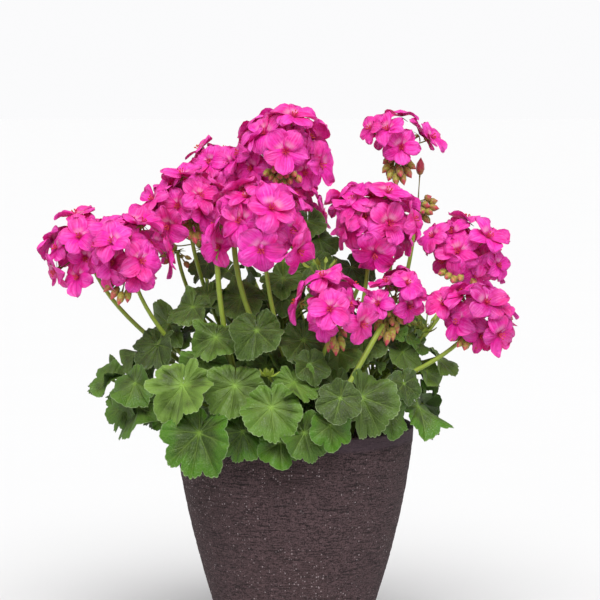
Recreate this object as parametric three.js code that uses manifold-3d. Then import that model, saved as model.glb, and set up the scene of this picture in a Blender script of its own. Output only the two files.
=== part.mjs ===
// A zonal geranium in a tapered planter: planter, potting mix, eight leafy stems and their flower umbels.
// Millimetres, +Z up. The origin is the middle of the planter's flat base, and -Y is the side that shows best.
import * as THREE from "three";
import { mergeVertices } from "three/addons/utils/BufferGeometryUtils.js";
import Module from "manifold-3d";

const wasm = await Module();
wasm.setup();

// Planter: a round pot whose side swells outwards towards the rim.
const POT_HEIGHT = 240;
const POT_RIM_RADIUS = 126;
const POT_BASE_RADIUS = 70;
const POT_SWELL = 1.5;
const POT_WALL = 8;
const POT_FLOOR = 12;
const POT_EDGE = 3;
const POT_SIDES = 30;
const POT_ROWS = [60, 120, 180];

// Potting mix: fills the planter to a little below its rim, slightly heaped.
const MIX_TOP = 216;
const MIX_HEAP = 5;
const GAP = 0.4;

// Leafy stems stand in plain holes in the mix, and leaf and flower stalks are sunk into them.
const STEM_RADIUS = 5;
const STEM_SIDES = 5;
const STEM_STEPS = 4;
const STEM_SAMPLES = 200;
const STEM_DEPTH = 34;
const HOLE_RADIUS = 7.5;
const HOLE_SIDES = 6;
const LOWEST_LEAF = 8;
const ROOT_OUT = 2;
const STALK_SIDES = 3;
const PETIOLE_RADIUS = 1.5;
const PETIOLE_STEPS = 3;
const PEDUNCLE_RADIUS = 2.4;
const PEDUNCLE_STEPS = 4;

// The stalks' bends as shares of their span: how far out and up they set off, and where they arrive from.
const PETIOLE_BEND = { out: 0.2, up: 0.3, behind: 0.32, above: 0.22 };
const PEDUNCLE_BEND = { out: 0.45, up: 0.3, inside: 0.1, below: 0.38 };

// Leaves: kidney-shaped, with three lobes each side of the tip's, or two on a small leaf, and a narrow opening
// behind the leaf stalk. Radii and rises are shares of the leaf's length, and angles are degrees from its tip.
const LEAF_THICKNESS = 0.8;
const SMALL_LEAF = 30;
const LOBES_EACH_SIDE = 3;
const LOBE_NOTCH = 0.86;
const LOBED_MARGIN = 140;
const BACK_CORNER = 162;
const BACK_SHARE = 0.9;
const OPENING_RADIUS = 0.12;
const LEAF_ROUNDNESS = 0.83;
const LEAF_FUNNEL = 0.08;
const LEAF_DROOP = 0.08;
const LOBE_BEND = 0.05;
const LOBE_WAVES = 9;
const LEAF_FOLD = 0.07;

// Umbels: florets of five petals on fine stalks that spring from one knob, over the half ball that it faces.
const KNOB_RADIUS = 5.5;
const PEDICEL_RADIUS = 0.9;
const GOLDEN_TURN = 137.508;
const FULL_SPREAD = 100;
const FEW_FLORETS = 5;
const FEW_SPREAD = 78;
const FLORET_DEPTHS = [1, 0.8, 0.64];
const FLORET_FACE_UP = 0.15;
const FLORET_LEAST_RADIUS = 8;
const FLORET_RADIUS_SHARE = 0.4;
const FLORET_TWIST = 50;

// Petals: half of one's width is in degrees round the floret, and radii and rises are shares of its radius.
const PETALS = 5;
const PETAL_THICKNESS = 0.7;
const PETAL_HALF_TURN = 23;
const PETAL_NOTCH = 0.58;
const PETAL_RISE = 0.05;

// Buds hang on fine stalks from just below the knob.
const BUD_DROP = 2.5;
const BUD_SIDES = 4;
const BUD_RADIUS = 2.8;
const BUD_LENGTHS = [20.7, 25.3];
const BUD_WIDEST = 0.74;
const BUD_FLARES = [0.56, 1.04];

const PLANTER = material(0x4f4142, 0.95);
const MIX = material(0x2c211b, 1.0);
const FOLIAGE = material(0x5b7a3c, 0.7);
const PETAL = material(0xee3fae, 0.6);

// Where each leafy stem leaves the mix, and where its tip is.
const STEMS = {
  left: { foot: [-46, -8], tip: [-76, -20, 280] },
  front_left: { foot: [-34, -42], tip: [-58, -64, 284] },
  front: { foot: [4, -56], tip: [2, -78, 284] },
  front_right: { foot: [42, -36], tip: [50, -52, 280] },
  right: { foot: [52, 8], tip: [88, 6, 290] },
  back: { foot: [14, 52], tip: [24, 84, 310] },
  back_left: { foot: [-36, 38], tip: [-66, 66, 310] },
  middle: { foot: [0, 0], tip: [-16, 0, 350] },
};

// Leaves of each stem: where the leaf stalk meets the blade, the blade's length from there to its tip, the way
// the blade faces (degrees round from the front, degrees above level), and its turn from hanging straight down.
const LEAVES = {
  left: [
    { at: [-141, -60, 330], length: 32, face: [-40, 45] },
    { at: [-193, -18, 292], length: 30, face: [-75, 50], turn: 10 },
    { at: [-163, -82, 293], length: 32, face: [-42, 38], turn: -35 },
    { at: [-160, -72, 268], length: 42, face: [-45, 28], turn: -15 },
    { at: [-165, -30, 318], length: 24, face: [-65, 45] },
    { at: [-120, -30, 338], length: 28, face: [-40, 50] },
  ],
  front_left: [
    { at: [-80, -91, 341], length: 32, face: [-12, 42] },
    { at: [-93, -92, 317], length: 30, face: [-22, 40], turn: 10 },
    { at: [-112, -126, 296], length: 43, face: [-15, 35] },
    { at: [-95, -142, 250], length: 46, face: [-18, 28], turn: -8 },
  ],
  front: [
    { at: [-38, -110, 350], length: 34, face: [0, 38] },
    { at: [9, -90, 338], length: 36, face: [8, 40], turn: 5 },
    { at: [-60, -119, 295], length: 38, face: [-3, 34] },
    { at: [0, -117, 298], length: 30, face: [6, 42], turn: 10 },
    { at: [-28, -84, 310], length: 32, face: [0, 44] },
    { at: [-23, -142, 276], length: 38, face: [0, 32] },
    { at: [-52, -126, 249], length: 33, face: [-10, 14], turn: -6 },
    { at: [-14, -141, 240], length: 28, face: [2, 12] },
    { at: [10, -140, 250], length: 32, face: [8, 20], turn: 8 },
  ],
  front_right: [
    { at: [36, -146, 258], length: 27, face: [8, 22] },
    { at: [68, -118, 283], length: 42, face: [16, 28], turn: 30 },
    { at: [42, -100, 290], length: 32, face: [4, 38], turn: -8 },
    { at: [70, -62, 337], length: 32, face: [14, 40] },
    { at: [112, -50, 321], length: 26, face: [32, 42] },
    { at: [112, -86, 293], length: 24, face: [34, 26] },
    { at: [96, -98, 264], length: 28, face: [38, 22] },
    { at: [46, -76, 324], length: 28, face: [6, 44] },
  ],
  right: [
    { at: [128, -56, 266], length: 42, face: [62, 40], turn: 20 },
    { at: [138, -30, 298], length: 25, face: [66, 40] },
    { at: [150, -16, 312], length: 28, face: [78, 50] },
    { at: [128, 30, 300], length: 38, face: [100, 42] },
    { at: [138, 22, 258], length: 40, face: [96, 24] },
    { at: [95, -12, 338], length: 30, face: [50, 55] },
    { at: [112, 54, 336], length: 34, face: [118, 50] },
  ],
  back: [
    { at: [88, 108, 262], length: 42, face: [138, 28] },
    { at: [34, 138, 256], length: 42, face: [168, 26] },
    { at: [78, 92, 312], length: 38, face: [142, 42] },
    { at: [24, 116, 306], length: 40, face: [172, 42] },
    { at: [46, 66, 352], length: 36, face: [150, 55] },
  ],
  back_left: [
    { at: [-30, 140, 258], length: 42, face: [192, 26] },
    { at: [-92, 112, 260], length: 42, face: [220, 28] },
    { at: [-136, 50, 262], length: 42, face: [252, 28] },
    { at: [-40, 112, 316], length: 38, face: [198, 42] },
    { at: [-98, 74, 314], length: 38, face: [232, 42] },
    { at: [-128, 18, 316], length: 34, face: [268, 45] },
    { at: [-60, 62, 358], length: 36, face: [215, 55] },
  ],
  middle: [
    { at: [-105, -50, 368], length: 32, face: [-25, 52] },
    { at: [-92, -26, 376], length: 30, face: [-30, 55] },
    { at: [-55, -44, 378], length: 34, face: [-8, 52] },
    { at: [-70, -4, 402], length: 26, face: [-35, 55] },
    { at: [-92, 24, 408], length: 26, face: [-60, 50] },
    { at: [-12, -22, 396], length: 30, face: [0, 55] },
    { at: [33, -36, 376], length: 30, face: [12, 50] },
    { at: [60, 0, 406], length: 32, face: [25, 52] },
    { at: [26, 22, 434], length: 26, face: [10, 45] },
  ],
};

// Umbels: the stem each grows on, the knob that its florets spring from, the way it faces, how far its florets
// reach from the knob, how many there are, and how many closed buds hang below. One holds only buds as yet.
const UMBELS = {
  left_front: { stem: "left", hub: [-169, -85, 420], face: [-22, 52], reach: 40, florets: 7, buds: 3 },
  left_back: { stem: "left", hub: [-220, -6, 424], face: [-75, 50], reach: 37, florets: 6, buds: 2 },
  left_low: { stem: "back_left", hub: [-130, 38, 424], face: [-60, 30], reach: 30, florets: 3, buds: 1 },
  upper_left: { stem: "back_left", hub: [-112, -34, 468], face: [-35, 52], reach: 37, florets: 7, buds: 3 },
  top_left: { stem: "middle", hub: [-79, 46, 508], face: [-55, 50], reach: 29, florets: 4, buds: 3 },
  top: { stem: "middle", hub: [-11, 4, 526], face: [5, 76], reach: 44, florets: 9, buds: 5 },
  centre: { stem: "front", hub: [-32, -95, 452], face: [2, 46], reach: 45, florets: 10, buds: 2 },
  right: { stem: "front_right", hub: [80, -30, 452], face: [6, 48], reach: 42, florets: 9, buds: 2 },
  low_front: { stem: "front", hub: [40, -112, 370], face: [-4, 52], reach: 37, florets: 6, buds: 2 },
  low_right: { stem: "front_right", hub: [102, -60, 376], face: [55, 50], reach: 31, florets: 5, buds: 6 },
  far_right: { stem: "right", hub: [180, 14, 414], face: [30, 58], reach: 40, florets: 7, buds: 3 },
  far_low: { stem: "front_right", hub: [186, -64, 356], face: [38, 48], reach: 38, florets: 7, buds: 3 },
  high_right: { stem: "right", hub: [110, 40, 530], face: [20, 76], reach: 34, florets: 5, buds: 7 },
  bud_right: { stem: "right", hub: [133, 60, 476], face: [40, 70], reach: 26, florets: 0, buds: 7 },
  back_left: { stem: "back_left", hub: [-104, 98, 424], face: [225, 48], reach: 39, florets: 5, buds: 0 },
  back: { stem: "back", hub: [-14, 112, 456], face: [180, 48], reach: 41, florets: 6, buds: 0 },
  back_right: { stem: "back", hub: [84, 106, 430], face: [145, 46], reach: 39, florets: 5, buds: 0 },
};

function material(color, roughness) {
  return new THREE.MeshStandardMaterial({ color, roughness, metalness: 0 });
}

function radians(degrees) {
  return (degrees * Math.PI) / 180;
}

function point(coordinates) {
  return new THREE.Vector3(...coordinates);
}

// A repeatable draw from 0 to 1 for a whole number.
function draw(seed) {
  const wide = Math.sin(seed * 12.9898 + 1.37) * 43758.5453;
  return wide - Math.floor(wide);
}

function drawBetween([least, most], seed) {
  return least + (most - least) * draw(seed);
}

// The unit vector that faces so many degrees round from the front (-Y, towards +X) and above level.
function facing([round, above]) {
  const a = radians(round);
  const e = radians(above);
  return new THREE.Vector3(Math.sin(a) * Math.cos(e), -Math.cos(a) * Math.cos(e), Math.sin(e));
}

// A closed geometry as a solid for joining and cutting, whichever way its faces were wound.
function solid(geometry) {
  const bare = new THREE.BufferGeometry();
  bare.setAttribute("position", geometry.getAttribute("position").clone());
  bare.setIndex(geometry.index ? geometry.index.clone() : null);
  const merged = mergeVertices(bare, 1e-3);
  const triVerts = new Uint32Array(merged.index.array);
  const vertProperties = new Float32Array(merged.attributes.position.array);
  const make = () => new wasm.Manifold(new wasm.Mesh({ numProp: 3, vertProperties, triVerts }));
  const first = make();
  if (first.volume() >= 0) return first;
  for (let i = 0; i < triVerts.length; i += 3) {
    [triVerts[i + 1], triVerts[i + 2]] = [triVerts[i + 2], triVerts[i + 1]];
  }
  return make();
}

function joined(solids) {
  return solids.reduce((whole, next) => whole.add(next));
}

// The largest connected body of a solid, so that no loose scrap is left.
function largest(whole) {
  return whole.decompose().reduce((a, b) => (b.volume() > a.volume() ? b : a));
}

function meshOf(name, whole, finish) {
  const made = largest(whole).getMesh();
  const geometry = new THREE.BufferGeometry();
  geometry.setAttribute("position", new THREE.BufferAttribute(made.vertProperties, 3));
  geometry.setIndex(new THREE.BufferAttribute(made.triVerts, 1));
  const mesh = new THREE.Mesh(geometry, finish);
  mesh.name = name;
  return mesh;
}

// The planter's outer radius at a height: it falls from the rim as a power of the depth below it.
function potRadius(height) {
  const depth = (POT_HEIGHT - height) / POT_HEIGHT;
  return POT_RIM_RADIUS - (POT_RIM_RADIUS - POT_BASE_RADIUS) * Math.pow(depth, POT_SWELL);
}

// The planter's inside as [radius, height] from its floor to its rim, kept clear of the wall by a gap.
function potInside(gap) {
  return [POT_FLOOR, POT_HEIGHT / 2, POT_HEIGHT].map((height) => [potRadius(height) - POT_WALL - gap, height]);
}

function planter() {
  const profile = [
    [0, 0],
    [POT_BASE_RADIUS - POT_EDGE, 0],
    [potRadius(POT_EDGE), POT_EDGE],
    ...POT_ROWS.map((height) => [potRadius(height), height]),
    [POT_RIM_RADIUS, POT_HEIGHT - POT_EDGE],
    [POT_RIM_RADIUS - POT_EDGE, POT_HEIGHT],
    ...potInside(0).reverse(),
    [0, POT_FLOOR],
  ];
  return solid(turned(profile, POT_SIDES));
}

// A closed profile of [radius, height] turned about the Z axis.
function turned(profile, sides) {
  const points = profile.map(([radius, height]) => new THREE.Vector2(radius, height));
  return new THREE.LatheGeometry(points, sides).rotateX(Math.PI / 2);
}

function pottingMix() {
  const [floor, middle, rim] = potInside(GAP);
  const share = (MIX_TOP - middle[1]) / (rim[1] - middle[1]);
  const profile = [
    [0, POT_FLOOR + GAP],
    [floor[0] - GAP, POT_FLOOR + GAP],
    middle,
    [middle[0] + share * (rim[0] - middle[0]), MIX_TOP],
    [0, MIX_TOP + MIX_HEAP],
  ];
  const holes = Object.values(STEMS).map(({ foot }) => {
    const hole = new THREE.CylinderGeometry(HOLE_RADIUS, HOLE_RADIUS, 2 * STEM_DEPTH, HOLE_SIDES);
    return solid(hole.rotateX(Math.PI / 2).translate(...foot, MIX_TOP + MIX_HEAP));
  });
  return holes.reduce((mix, hole) => mix.subtract(hole), solid(turned(profile, POT_SIDES)));
}

// A round bar of a few sides along a curve.
function bar(curve, radius, sides, steps) {
  const section = new THREE.Shape();
  for (let i = 0; i < sides; i++) {
    const a = (2 * Math.PI * i) / sides;
    section[i ? "lineTo" : "moveTo"](radius * Math.cos(a), radius * Math.sin(a));
  }
  return solid(new THREE.ExtrudeGeometry(section, { steps, extrudePath: curve, bevelEnabled: false }));
}

// A thin blade on its stalk, as one closed shape. The blade is a fan of triangles from its centre to its
// margin, alike on both faces, and the stalk leaves the middle of its back along the route's points.
function bladeOnStalk(centre, margin, out, thickness, route, stalkRadius) {
  const back = out.clone().multiplyScalar(-thickness);
  const count = margin.length;
  const perSide = count / STALK_SIDES;
  const spokes = Array.from({ length: STALK_SIDES }, (_, side) =>
    margin[Math.round(side * perSide)].clone().sub(centre).projectOnPlane(out).setLength(stalkRadius),
  );
  const path = [centre.clone().add(back), ...route];
  const inwards = out.clone().negate();
  const rings = path.map((middle, step) => {
    const ahead = path[Math.min(step + 1, route.length)];
    const way = step ? ahead.clone().sub(path[step - 1]).normalize() : inwards;
    const tilt = new THREE.Quaternion().setFromUnitVectors(inwards, way);
    return spokes.map((spoke) => spoke.clone().applyQuaternion(tilt).add(middle));
  });
  const points = [centre, ...margin, ...margin.map((p) => p.clone().add(back)), ...rings.flat()];
  const rim = 1;
  const under = rim + count;
  const neck = under + count;
  const index = [];
  for (let i = 0; i < count; i++) {
    const j = (i + 1) % count;
    const side = Math.round(i / perSide) % STALK_SIDES;
    const next = Math.round((i + 1) / perSide) % STALK_SIDES;
    index.push(0, rim + i, rim + j);
    index.push(rim + i, under + i, under + j, rim + i, under + j, rim + j);
    index.push(under + j, under + i, neck + side);
    if (next !== side) index.push(under + j, neck + side, neck + next);
  }
  route.forEach((_, step) => {
    const near = neck + step * STALK_SIDES;
    const far = near + STALK_SIDES;
    for (let i = 0; i < STALK_SIDES; i++) {
      const j = (i + 1) % STALK_SIDES;
      index.push(near + i, far + i, far + j, near + i, far + j, near + j);
    }
  });
  const end = neck + route.length * STALK_SIDES;
  index.push(end, end + 2, end + 1);
  const geometry = new THREE.BufferGeometry().setFromPoints(points);
  geometry.setIndex(index);
  return solid(geometry);
}

// The axes of a leaf blade: its normal, the way to its tip and the way to its side.
function leafAxes({ face, turn = 0 }) {
  const normal = facing(face);
  const down = new THREE.Vector3(0, 0, -1);
  down.addScaledVector(normal, -down.dot(normal)).normalize();
  const across = normal.clone().cross(down);
  const t = radians(turn);
  const tip = down.clone().multiplyScalar(Math.cos(t)).addScaledVector(across, Math.sin(t));
  return { normal, tip, side: normal.clone().cross(tip) };
}

// A leaf's radius as a share of its length, at an angle from its tip, before its lobes are cut.
function leafOutline(angle) {
  return LEAF_ROUNDNESS + (1 - LEAF_ROUNDNESS) * Math.cos(angle);
}

// How far the margin stands above the joint with the leaf stalk: a shallow funnel that droops towards the tip,
// waved by its lobes and folded a little along a line of its own.
function leafRise(angle, phase) {
  const funnel = LEAF_FUNNEL - LEAF_DROOP * Math.cos(angle);
  return funnel - LOBE_BEND * Math.cos(LOBE_WAVES * angle) + LEAF_FOLD * Math.cos(2 * angle + phase);
}

// A leaf's margin as [angle, radius]: lobe tips with notches between, the back corners and the opening's end.
function leafMargin(length) {
  const eachSide = length < SMALL_LEAF ? LOBES_EACH_SIDE - 1 : LOBES_EACH_SIDE;
  const lobeTurn = (2 * LOBED_MARGIN) / (2 * eachSide + 1);
  const margin = [[-BACK_CORNER, BACK_SHARE]];
  for (let step = -2 * eachSide - 1; step <= 2 * eachSide + 1; step++) {
    margin.push([(lobeTurn * step) / 2, step % 2 ? LOBE_NOTCH : 1]);
  }
  margin.push([BACK_CORNER, BACK_SHARE]);
  const corners = margin.map(([angle, share]) => [angle, share * leafOutline(radians(angle))]);
  return [...corners, [180, OPENING_RADIUS]];
}

// A leaf on its stalk, which ends inside the leafy stem at the start point.
function leafOnStalk(leaf, start) {
  const { normal, tip, side } = leafAxes(leaf);
  const centre = point(leaf.at);
  const phase = 2 * Math.PI * draw(leaf.at[0] + 7 * leaf.at[2]);
  const margin = leafMargin(leaf.length).map(([degrees, radius]) => {
    const angle = radians(degrees);
    return centre
      .clone()
      .addScaledVector(tip, leaf.length * radius * Math.cos(angle))
      .addScaledVector(side, leaf.length * radius * Math.sin(angle))
      .addScaledVector(normal, leaf.length * radius * leafRise(angle, phase));
  });
  const route = petioleCurve(start, leaf).getPoints(PETIOLE_STEPS).reverse().slice(1);
  return bladeOnStalk(centre, margin, normal, LEAF_THICKNESS, route, PETIOLE_RADIUS);
}

// A leafy stem's line: straight up out of the mix, then leaning to its tip.
function stemCurve({ foot, tip }) {
  const soil = MIX_TOP + MIX_HEAP;
  const between = point([...foot, soil]).lerp(point(tip), 0.5);
  return new THREE.CatmullRomCurve3([
    point([...foot, soil - STEM_DEPTH + GAP]),
    point([...foot, soil]),
    between.setZ(between.z + STEM_RADIUS),
    point(tip),
  ]);
}

// The point of a stem's line at a height.
function stemAt(curve, height) {
  const points = curve.getPoints(STEM_SAMPLES);
  return points.find(({ z }) => z >= height).clone();
}

// A leaf stalk rises from its stem and meets the blade from behind, clear of the planter's rim.
function petioleCurve(start, leaf) {
  const { normal, tip } = leafAxes(leaf);
  const end = point(leaf.at);
  const span = end.distanceTo(start);
  const outward = end.clone().sub(start).setZ(0).normalize();
  const leave = start.clone().addScaledVector(outward, PETIOLE_BEND.out * span);
  leave.z += PETIOLE_BEND.up * span;
  const arrive = end.clone().addScaledVector(normal, -PETIOLE_BEND.behind * span);
  arrive.addScaledVector(tip, -PETIOLE_BEND.above * span);
  return new THREE.CubicBezierCurve3(start, leave, arrive, end);
}

// Where an umbel's flower stalk ends, just under its knob.
function peduncleEnd({ hub, face }) {
  return point(hub).addScaledVector(facing(face), -KNOB_RADIUS - GAP);
}

// A flower stalk leaves its stem outwards, then rises ever more steeply to its umbel.
function peduncleCurve(start, spec) {
  const end = peduncleEnd(spec);
  const way = end.clone().sub(start);
  const level = way.clone().setZ(0);
  const leave = start.clone().addScaledVector(level, PEDUNCLE_BEND.out);
  leave.z += PEDUNCLE_BEND.up * way.z;
  const arrive = end.clone().addScaledVector(level, -PEDUNCLE_BEND.inside);
  arrive.z -= PEDUNCLE_BEND.below * way.z;
  return new THREE.CubicBezierCurve3(start, leave, arrive, end);
}

// Directions spread evenly over a cap round an axis, by the golden angle.
function capDirections(face, count, spread, phase) {
  const axis = facing(face);
  const across = new THREE.Vector3(Math.cos(radians(face[0])), Math.sin(radians(face[0])), 0);
  const over = axis.clone().cross(across);
  const lowest = Math.cos(radians(spread));
  return Array.from({ length: count }, (_, i) => {
    const cosine = 1 - ((i + 0.5) / count) * (1 - lowest);
    const sine = Math.sqrt(1 - cosine * cosine);
    const a = radians(GOLDEN_TURN * i + phase);
    return axis
      .clone()
      .multiplyScalar(cosine)
      .addScaledVector(across, sine * Math.cos(a))
      .addScaledVector(over, sine * Math.sin(a));
  });
}

// How much of the line where two florets' planes meet lies inside both of their rims.
function crossing(a, b) {
  const line = a.out.clone().cross(b.out);
  const square = line.lengthSq();
  if (square < 1e-4) return 0;
  const shared = b.out.clone().cross(line).multiplyScalar(a.out.dot(a.centre));
  shared.addScaledVector(line.clone().cross(a.out), b.out.dot(b.centre)).divideScalar(square);
  line.normalize();
  const [first, second] = [a, b].map(({ centre, radius }) => {
    const off = centre.clone().sub(shared);
    const along = off.dot(line);
    const half = Math.sqrt(Math.max(0, radius * radius - off.lengthSq() + along * along));
    return [along - half, along + half, half];
  });
  if (!first[2] || !second[2]) return 0;
  return Math.max(0, Math.min(first[1], second[1]) - Math.max(first[0], second[0]));
}

// Places for an umbel's florets: each takes the depth at which it crosses the earlier ones least.
function floretPlaces(spec) {
  const hub = point(spec.hub);
  const phase = 360 * draw(spec.hub[0] + spec.hub[2]);
  const spread = spec.florets > FEW_FLORETS ? FULL_SPREAD : FEW_SPREAD;
  const radius = FLORET_LEAST_RADIUS + FLORET_RADIUS_SHARE * spec.reach;
  const placed = [];
  capDirections(spec.face, spec.florets, spread, phase).forEach((direction, i) => {
    const out = direction.clone().setZ(direction.z + FLORET_FACE_UP).normalize();
    const twist = FLORET_TWIST * (draw(i + spec.hub[0]) - 0.5);
    const choices = FLORET_DEPTHS.map((depth) => {
      const choice = { centre: hub.clone().addScaledVector(direction, depth * spec.reach), out, radius, twist };
      choice.clash = placed.reduce((sum, other) => sum + crossing(choice, other), 0);
      return choice;
    });
    placed.push(choices.reduce((best, next) => (next.clash < best.clash - 1e-6 ? next : best)));
  });
  return placed;
}

// A floret on its stalk, as one closed shape: five rounded petals in one arched sheet, cut in towards the
// middle between them, with a three-sided stalk from the sheet's back to the umbel's knob.
function floret(hub, { centre, out, radius, twist }) {
  const up = new THREE.Vector3(0, 0, 1);
  up.addScaledVector(out, -up.dot(out)).normalize();
  const right = up.clone().cross(out);
  const at = (degrees, share, rise) => {
    const a = radians(degrees);
    return centre
      .clone()
      .addScaledVector(up, share * radius * Math.cos(a))
      .addScaledVector(right, -share * radius * Math.sin(a))
      .addScaledVector(out, rise * radius);
  };
  const half = 180 / PETALS;
  const ring = [];
  for (let petal = 0; petal < PETALS; petal++) {
    const middle = 2 * half * (petal + 0.5) + twist;
    ring.push(at(middle - PETAL_HALF_TURN, 1, PETAL_RISE));
    ring.push(at(middle + PETAL_HALF_TURN, 1, PETAL_RISE));
    ring.push(at(middle + half, PETAL_NOTCH, 0));
  }
  return bladeOnStalk(centre, ring, out, PETAL_THICKNESS, [hub], PEDICEL_RADIUS);
}

// The knob's corner opposite the way it faces stands on the end of the flower stalk.
function umbel(spec) {
  const hub = point(spec.hub);
  const turn = new THREE.Quaternion().setFromUnitVectors(new THREE.Vector3(0, 0, 1), facing(spec.face));
  const knob = new THREE.OctahedronGeometry(KNOB_RADIUS, 0).applyQuaternion(turn).translate(...spec.hub);
  return joined([solid(knob), ...floretPlaces(spec).map((place) => floret(hub, place))]);
}

// A closed bud on its stalk: a long cone from the knob that swells and closes to a point.
function bud(root, direction, length) {
  const profile = [
    [0, 0],
    [BUD_RADIUS, BUD_WIDEST * length],
    [0, length],
  ];
  const turn = new THREE.Quaternion().setFromUnitVectors(new THREE.Vector3(0, 0, 1), direction);
  return solid(turned(profile, BUD_SIDES).applyQuaternion(turn).translate(...root));
}

function hangingBuds(spec) {
  const root = peduncleEnd(spec);
  root.z -= BUD_DROP;
  return Array.from({ length: spec.buds }, (_, i) => {
    const a = radians(GOLDEN_TURN * i);
    const flare = drawBetween(BUD_FLARES, i + spec.hub[1]);
    const direction = new THREE.Vector3(flare * Math.cos(a), flare * Math.sin(a), -1).normalize();
    return bud(root, direction, drawBetween(BUD_LENGTHS, 3 * i + spec.hub[2]));
  });
}

// A leafy stem with its leaves, flower stalks and buds. What reaches higher springs from higher up the stem.
function leafyStem(name) {
  const curve = stemCurve(STEMS[name]);
  const umbels = Object.values(UMBELS).filter(({ stem }) => stem === name);
  const springing = [...LEAVES[name], ...umbels].sort((a, b) => (a.at ?? a.hub)[2] - (b.at ?? b.hub)[2]);
  const low = MIX_TOP + MIX_HEAP + LOWEST_LEAF;
  const pieces = [bar(curve, STEM_RADIUS, STEM_SIDES, STEM_STEPS)];
  springing.forEach((grown, i) => {
    const height = low + ((STEMS[name].tip[2] - low) * (i + 0.5)) / springing.length;
    const target = point(grown.at ?? grown.hub);
    const start = stemAt(curve, height);
    start.add(target.sub(start).setZ(0).setLength(ROOT_OUT));
    if (grown.at) {
      pieces.push(leafOnStalk(grown, start));
    } else {
      pieces.push(bar(peduncleCurve(start, grown), PEDUNCLE_RADIUS, STALK_SIDES, PEDUNCLE_STEPS));
      pieces.push(...hangingBuds(grown));
    }
  });
  return joined(pieces);
}

const geranium = new THREE.Group();
geranium.add(meshOf("planter", planter(), PLANTER));
geranium.add(meshOf("potting_mix", pottingMix(), MIX));
for (const name of Object.keys(STEMS)) {
  geranium.add(meshOf("leafy_stem_" + name, leafyStem(name), FOLIAGE));
}
for (const [name, spec] of Object.entries(UMBELS)) {
  if (spec.florets) geranium.add(meshOf("umbel_" + name, umbel(spec), PETAL));
}

export default geranium;
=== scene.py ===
"""A zonal geranium in a tapered stone-like planter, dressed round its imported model.

Lengths are in millimetres until Shapes.piece turns them to metres. The floor, the light and the camera are
placed in metres. +Z is up, and -Y faces the camera.
"""
import math

import bpy
import numpy as np
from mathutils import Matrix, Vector


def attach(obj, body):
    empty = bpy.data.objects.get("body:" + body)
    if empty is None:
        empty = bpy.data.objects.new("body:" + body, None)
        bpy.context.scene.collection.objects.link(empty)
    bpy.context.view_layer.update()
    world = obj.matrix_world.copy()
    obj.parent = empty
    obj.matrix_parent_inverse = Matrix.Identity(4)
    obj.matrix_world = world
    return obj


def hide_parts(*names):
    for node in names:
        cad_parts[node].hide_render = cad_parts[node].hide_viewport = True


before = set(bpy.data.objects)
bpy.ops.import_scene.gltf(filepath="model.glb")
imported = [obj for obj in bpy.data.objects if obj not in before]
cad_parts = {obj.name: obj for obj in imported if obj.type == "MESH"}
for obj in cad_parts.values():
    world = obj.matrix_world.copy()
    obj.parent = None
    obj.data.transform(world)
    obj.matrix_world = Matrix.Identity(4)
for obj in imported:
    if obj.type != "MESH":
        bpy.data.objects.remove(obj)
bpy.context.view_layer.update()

# Metres in a millimetre, the grid in mm on which points of one shape become one, and the angle in degrees
# between two faces from which their edge stays sharp
METRES = 0.001
WELD = 0.002
CREASE_ANGLE = 80

# Planter and potting mix. The swells, streaks and grain of the wall have so many cells round it and up it.
POT_HEIGHT = 240
POT_RIM_RADIUS = 126
POT_BASE_RADIUS = 70
POT_TAPER = 1.5
POT_WALL = 8
POT_FLOOR = 12
POT_EDGE = 3
POT_INSIDE_HEIGHTS = (200, 160, 120, 70)
POT_BAND_HEIGHTS = (222, 228)
POT_ROWS = 116
POT_COLUMNS = 300
POT_SWELL_CELLS = (9, 5)
POT_SWELL_DEPTH = 0.45
POT_STREAK_CELLS = (130, 110)
POT_STREAK_DEPTH = 0.42
POT_GRAIN_CELLS = (290, 112)
POT_GRAIN_DEPTH = 0.22
POT_RELIEF_INSET = 0.3
MIX_TOP = 216
MIX_HEAP = 5
MIX_SIDE_HEIGHTS = (70, 120, 170)
MIX_BUMPS = 1.6
MIX_CHIPS = 320
MIX_CHIP_SIZES = (1.6, 4.6)

# Stems and stalks. Their bends are shares of the way from a stalk's start to its end.
STEM_RADIUS = 5
STEM_END_RADIUS = 3.4
STEM_DEPTH = 34
FINE_STEPS = 60
LOWEST_LEAF = 8
ROOT_OUT = 2
PETIOLE_RADIUS = 1.5
PETIOLE_BEND = {"out": 0.2, "up": 0.3, "behind": 0.32, "above": 0.22}
PEDUNCLE_RADIUS = 2.8
PEDUNCLE_END_RADIUS = 1.9
PEDUNCLE_BEND = {"out": 0.45, "up": 0.3, "inside": 0.1, "below": 0.38}
STIPULE_SIZE = (8, 5)
SHOOT_RADIUS = 1.3
SHOOT_STALK_RADIUS = 0.7
SHOOT_LEAVES = 12
SHOOT_LEAF_LENGTHS = (13, 7)

# Tones of the green parts that aren't blades: shade, from dark to pale, youth and red flush
STALK_TONES = {
    "stem": (0.25, 0.3, 0),
    "petiole": (0.5, 0.4, 0),
    "inner petiole": (0.6, 0.6, 0),
    "peduncle": (0.9, 0.7, 0),
    "stipule": (0.7, 0.5, 0),
    "shoot": (0.9, 1, 0),
    "shoot stalk": (0.7, 0.6, 0),
    "shoot leaf": (1, 1, 0),
    "bract": (0.9, 1, 0.1),
    "bud stalk": (0.6, 0.7, 0.4),
    "knob": (0.6, 0.7, 0.3),
    "pedicel": (0.45, 0.6, 0.35),
    "calyx tube": (0.35, 0.5, 0.6),
    "sepal": (0.5, 0.6, 0.35),
}

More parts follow.
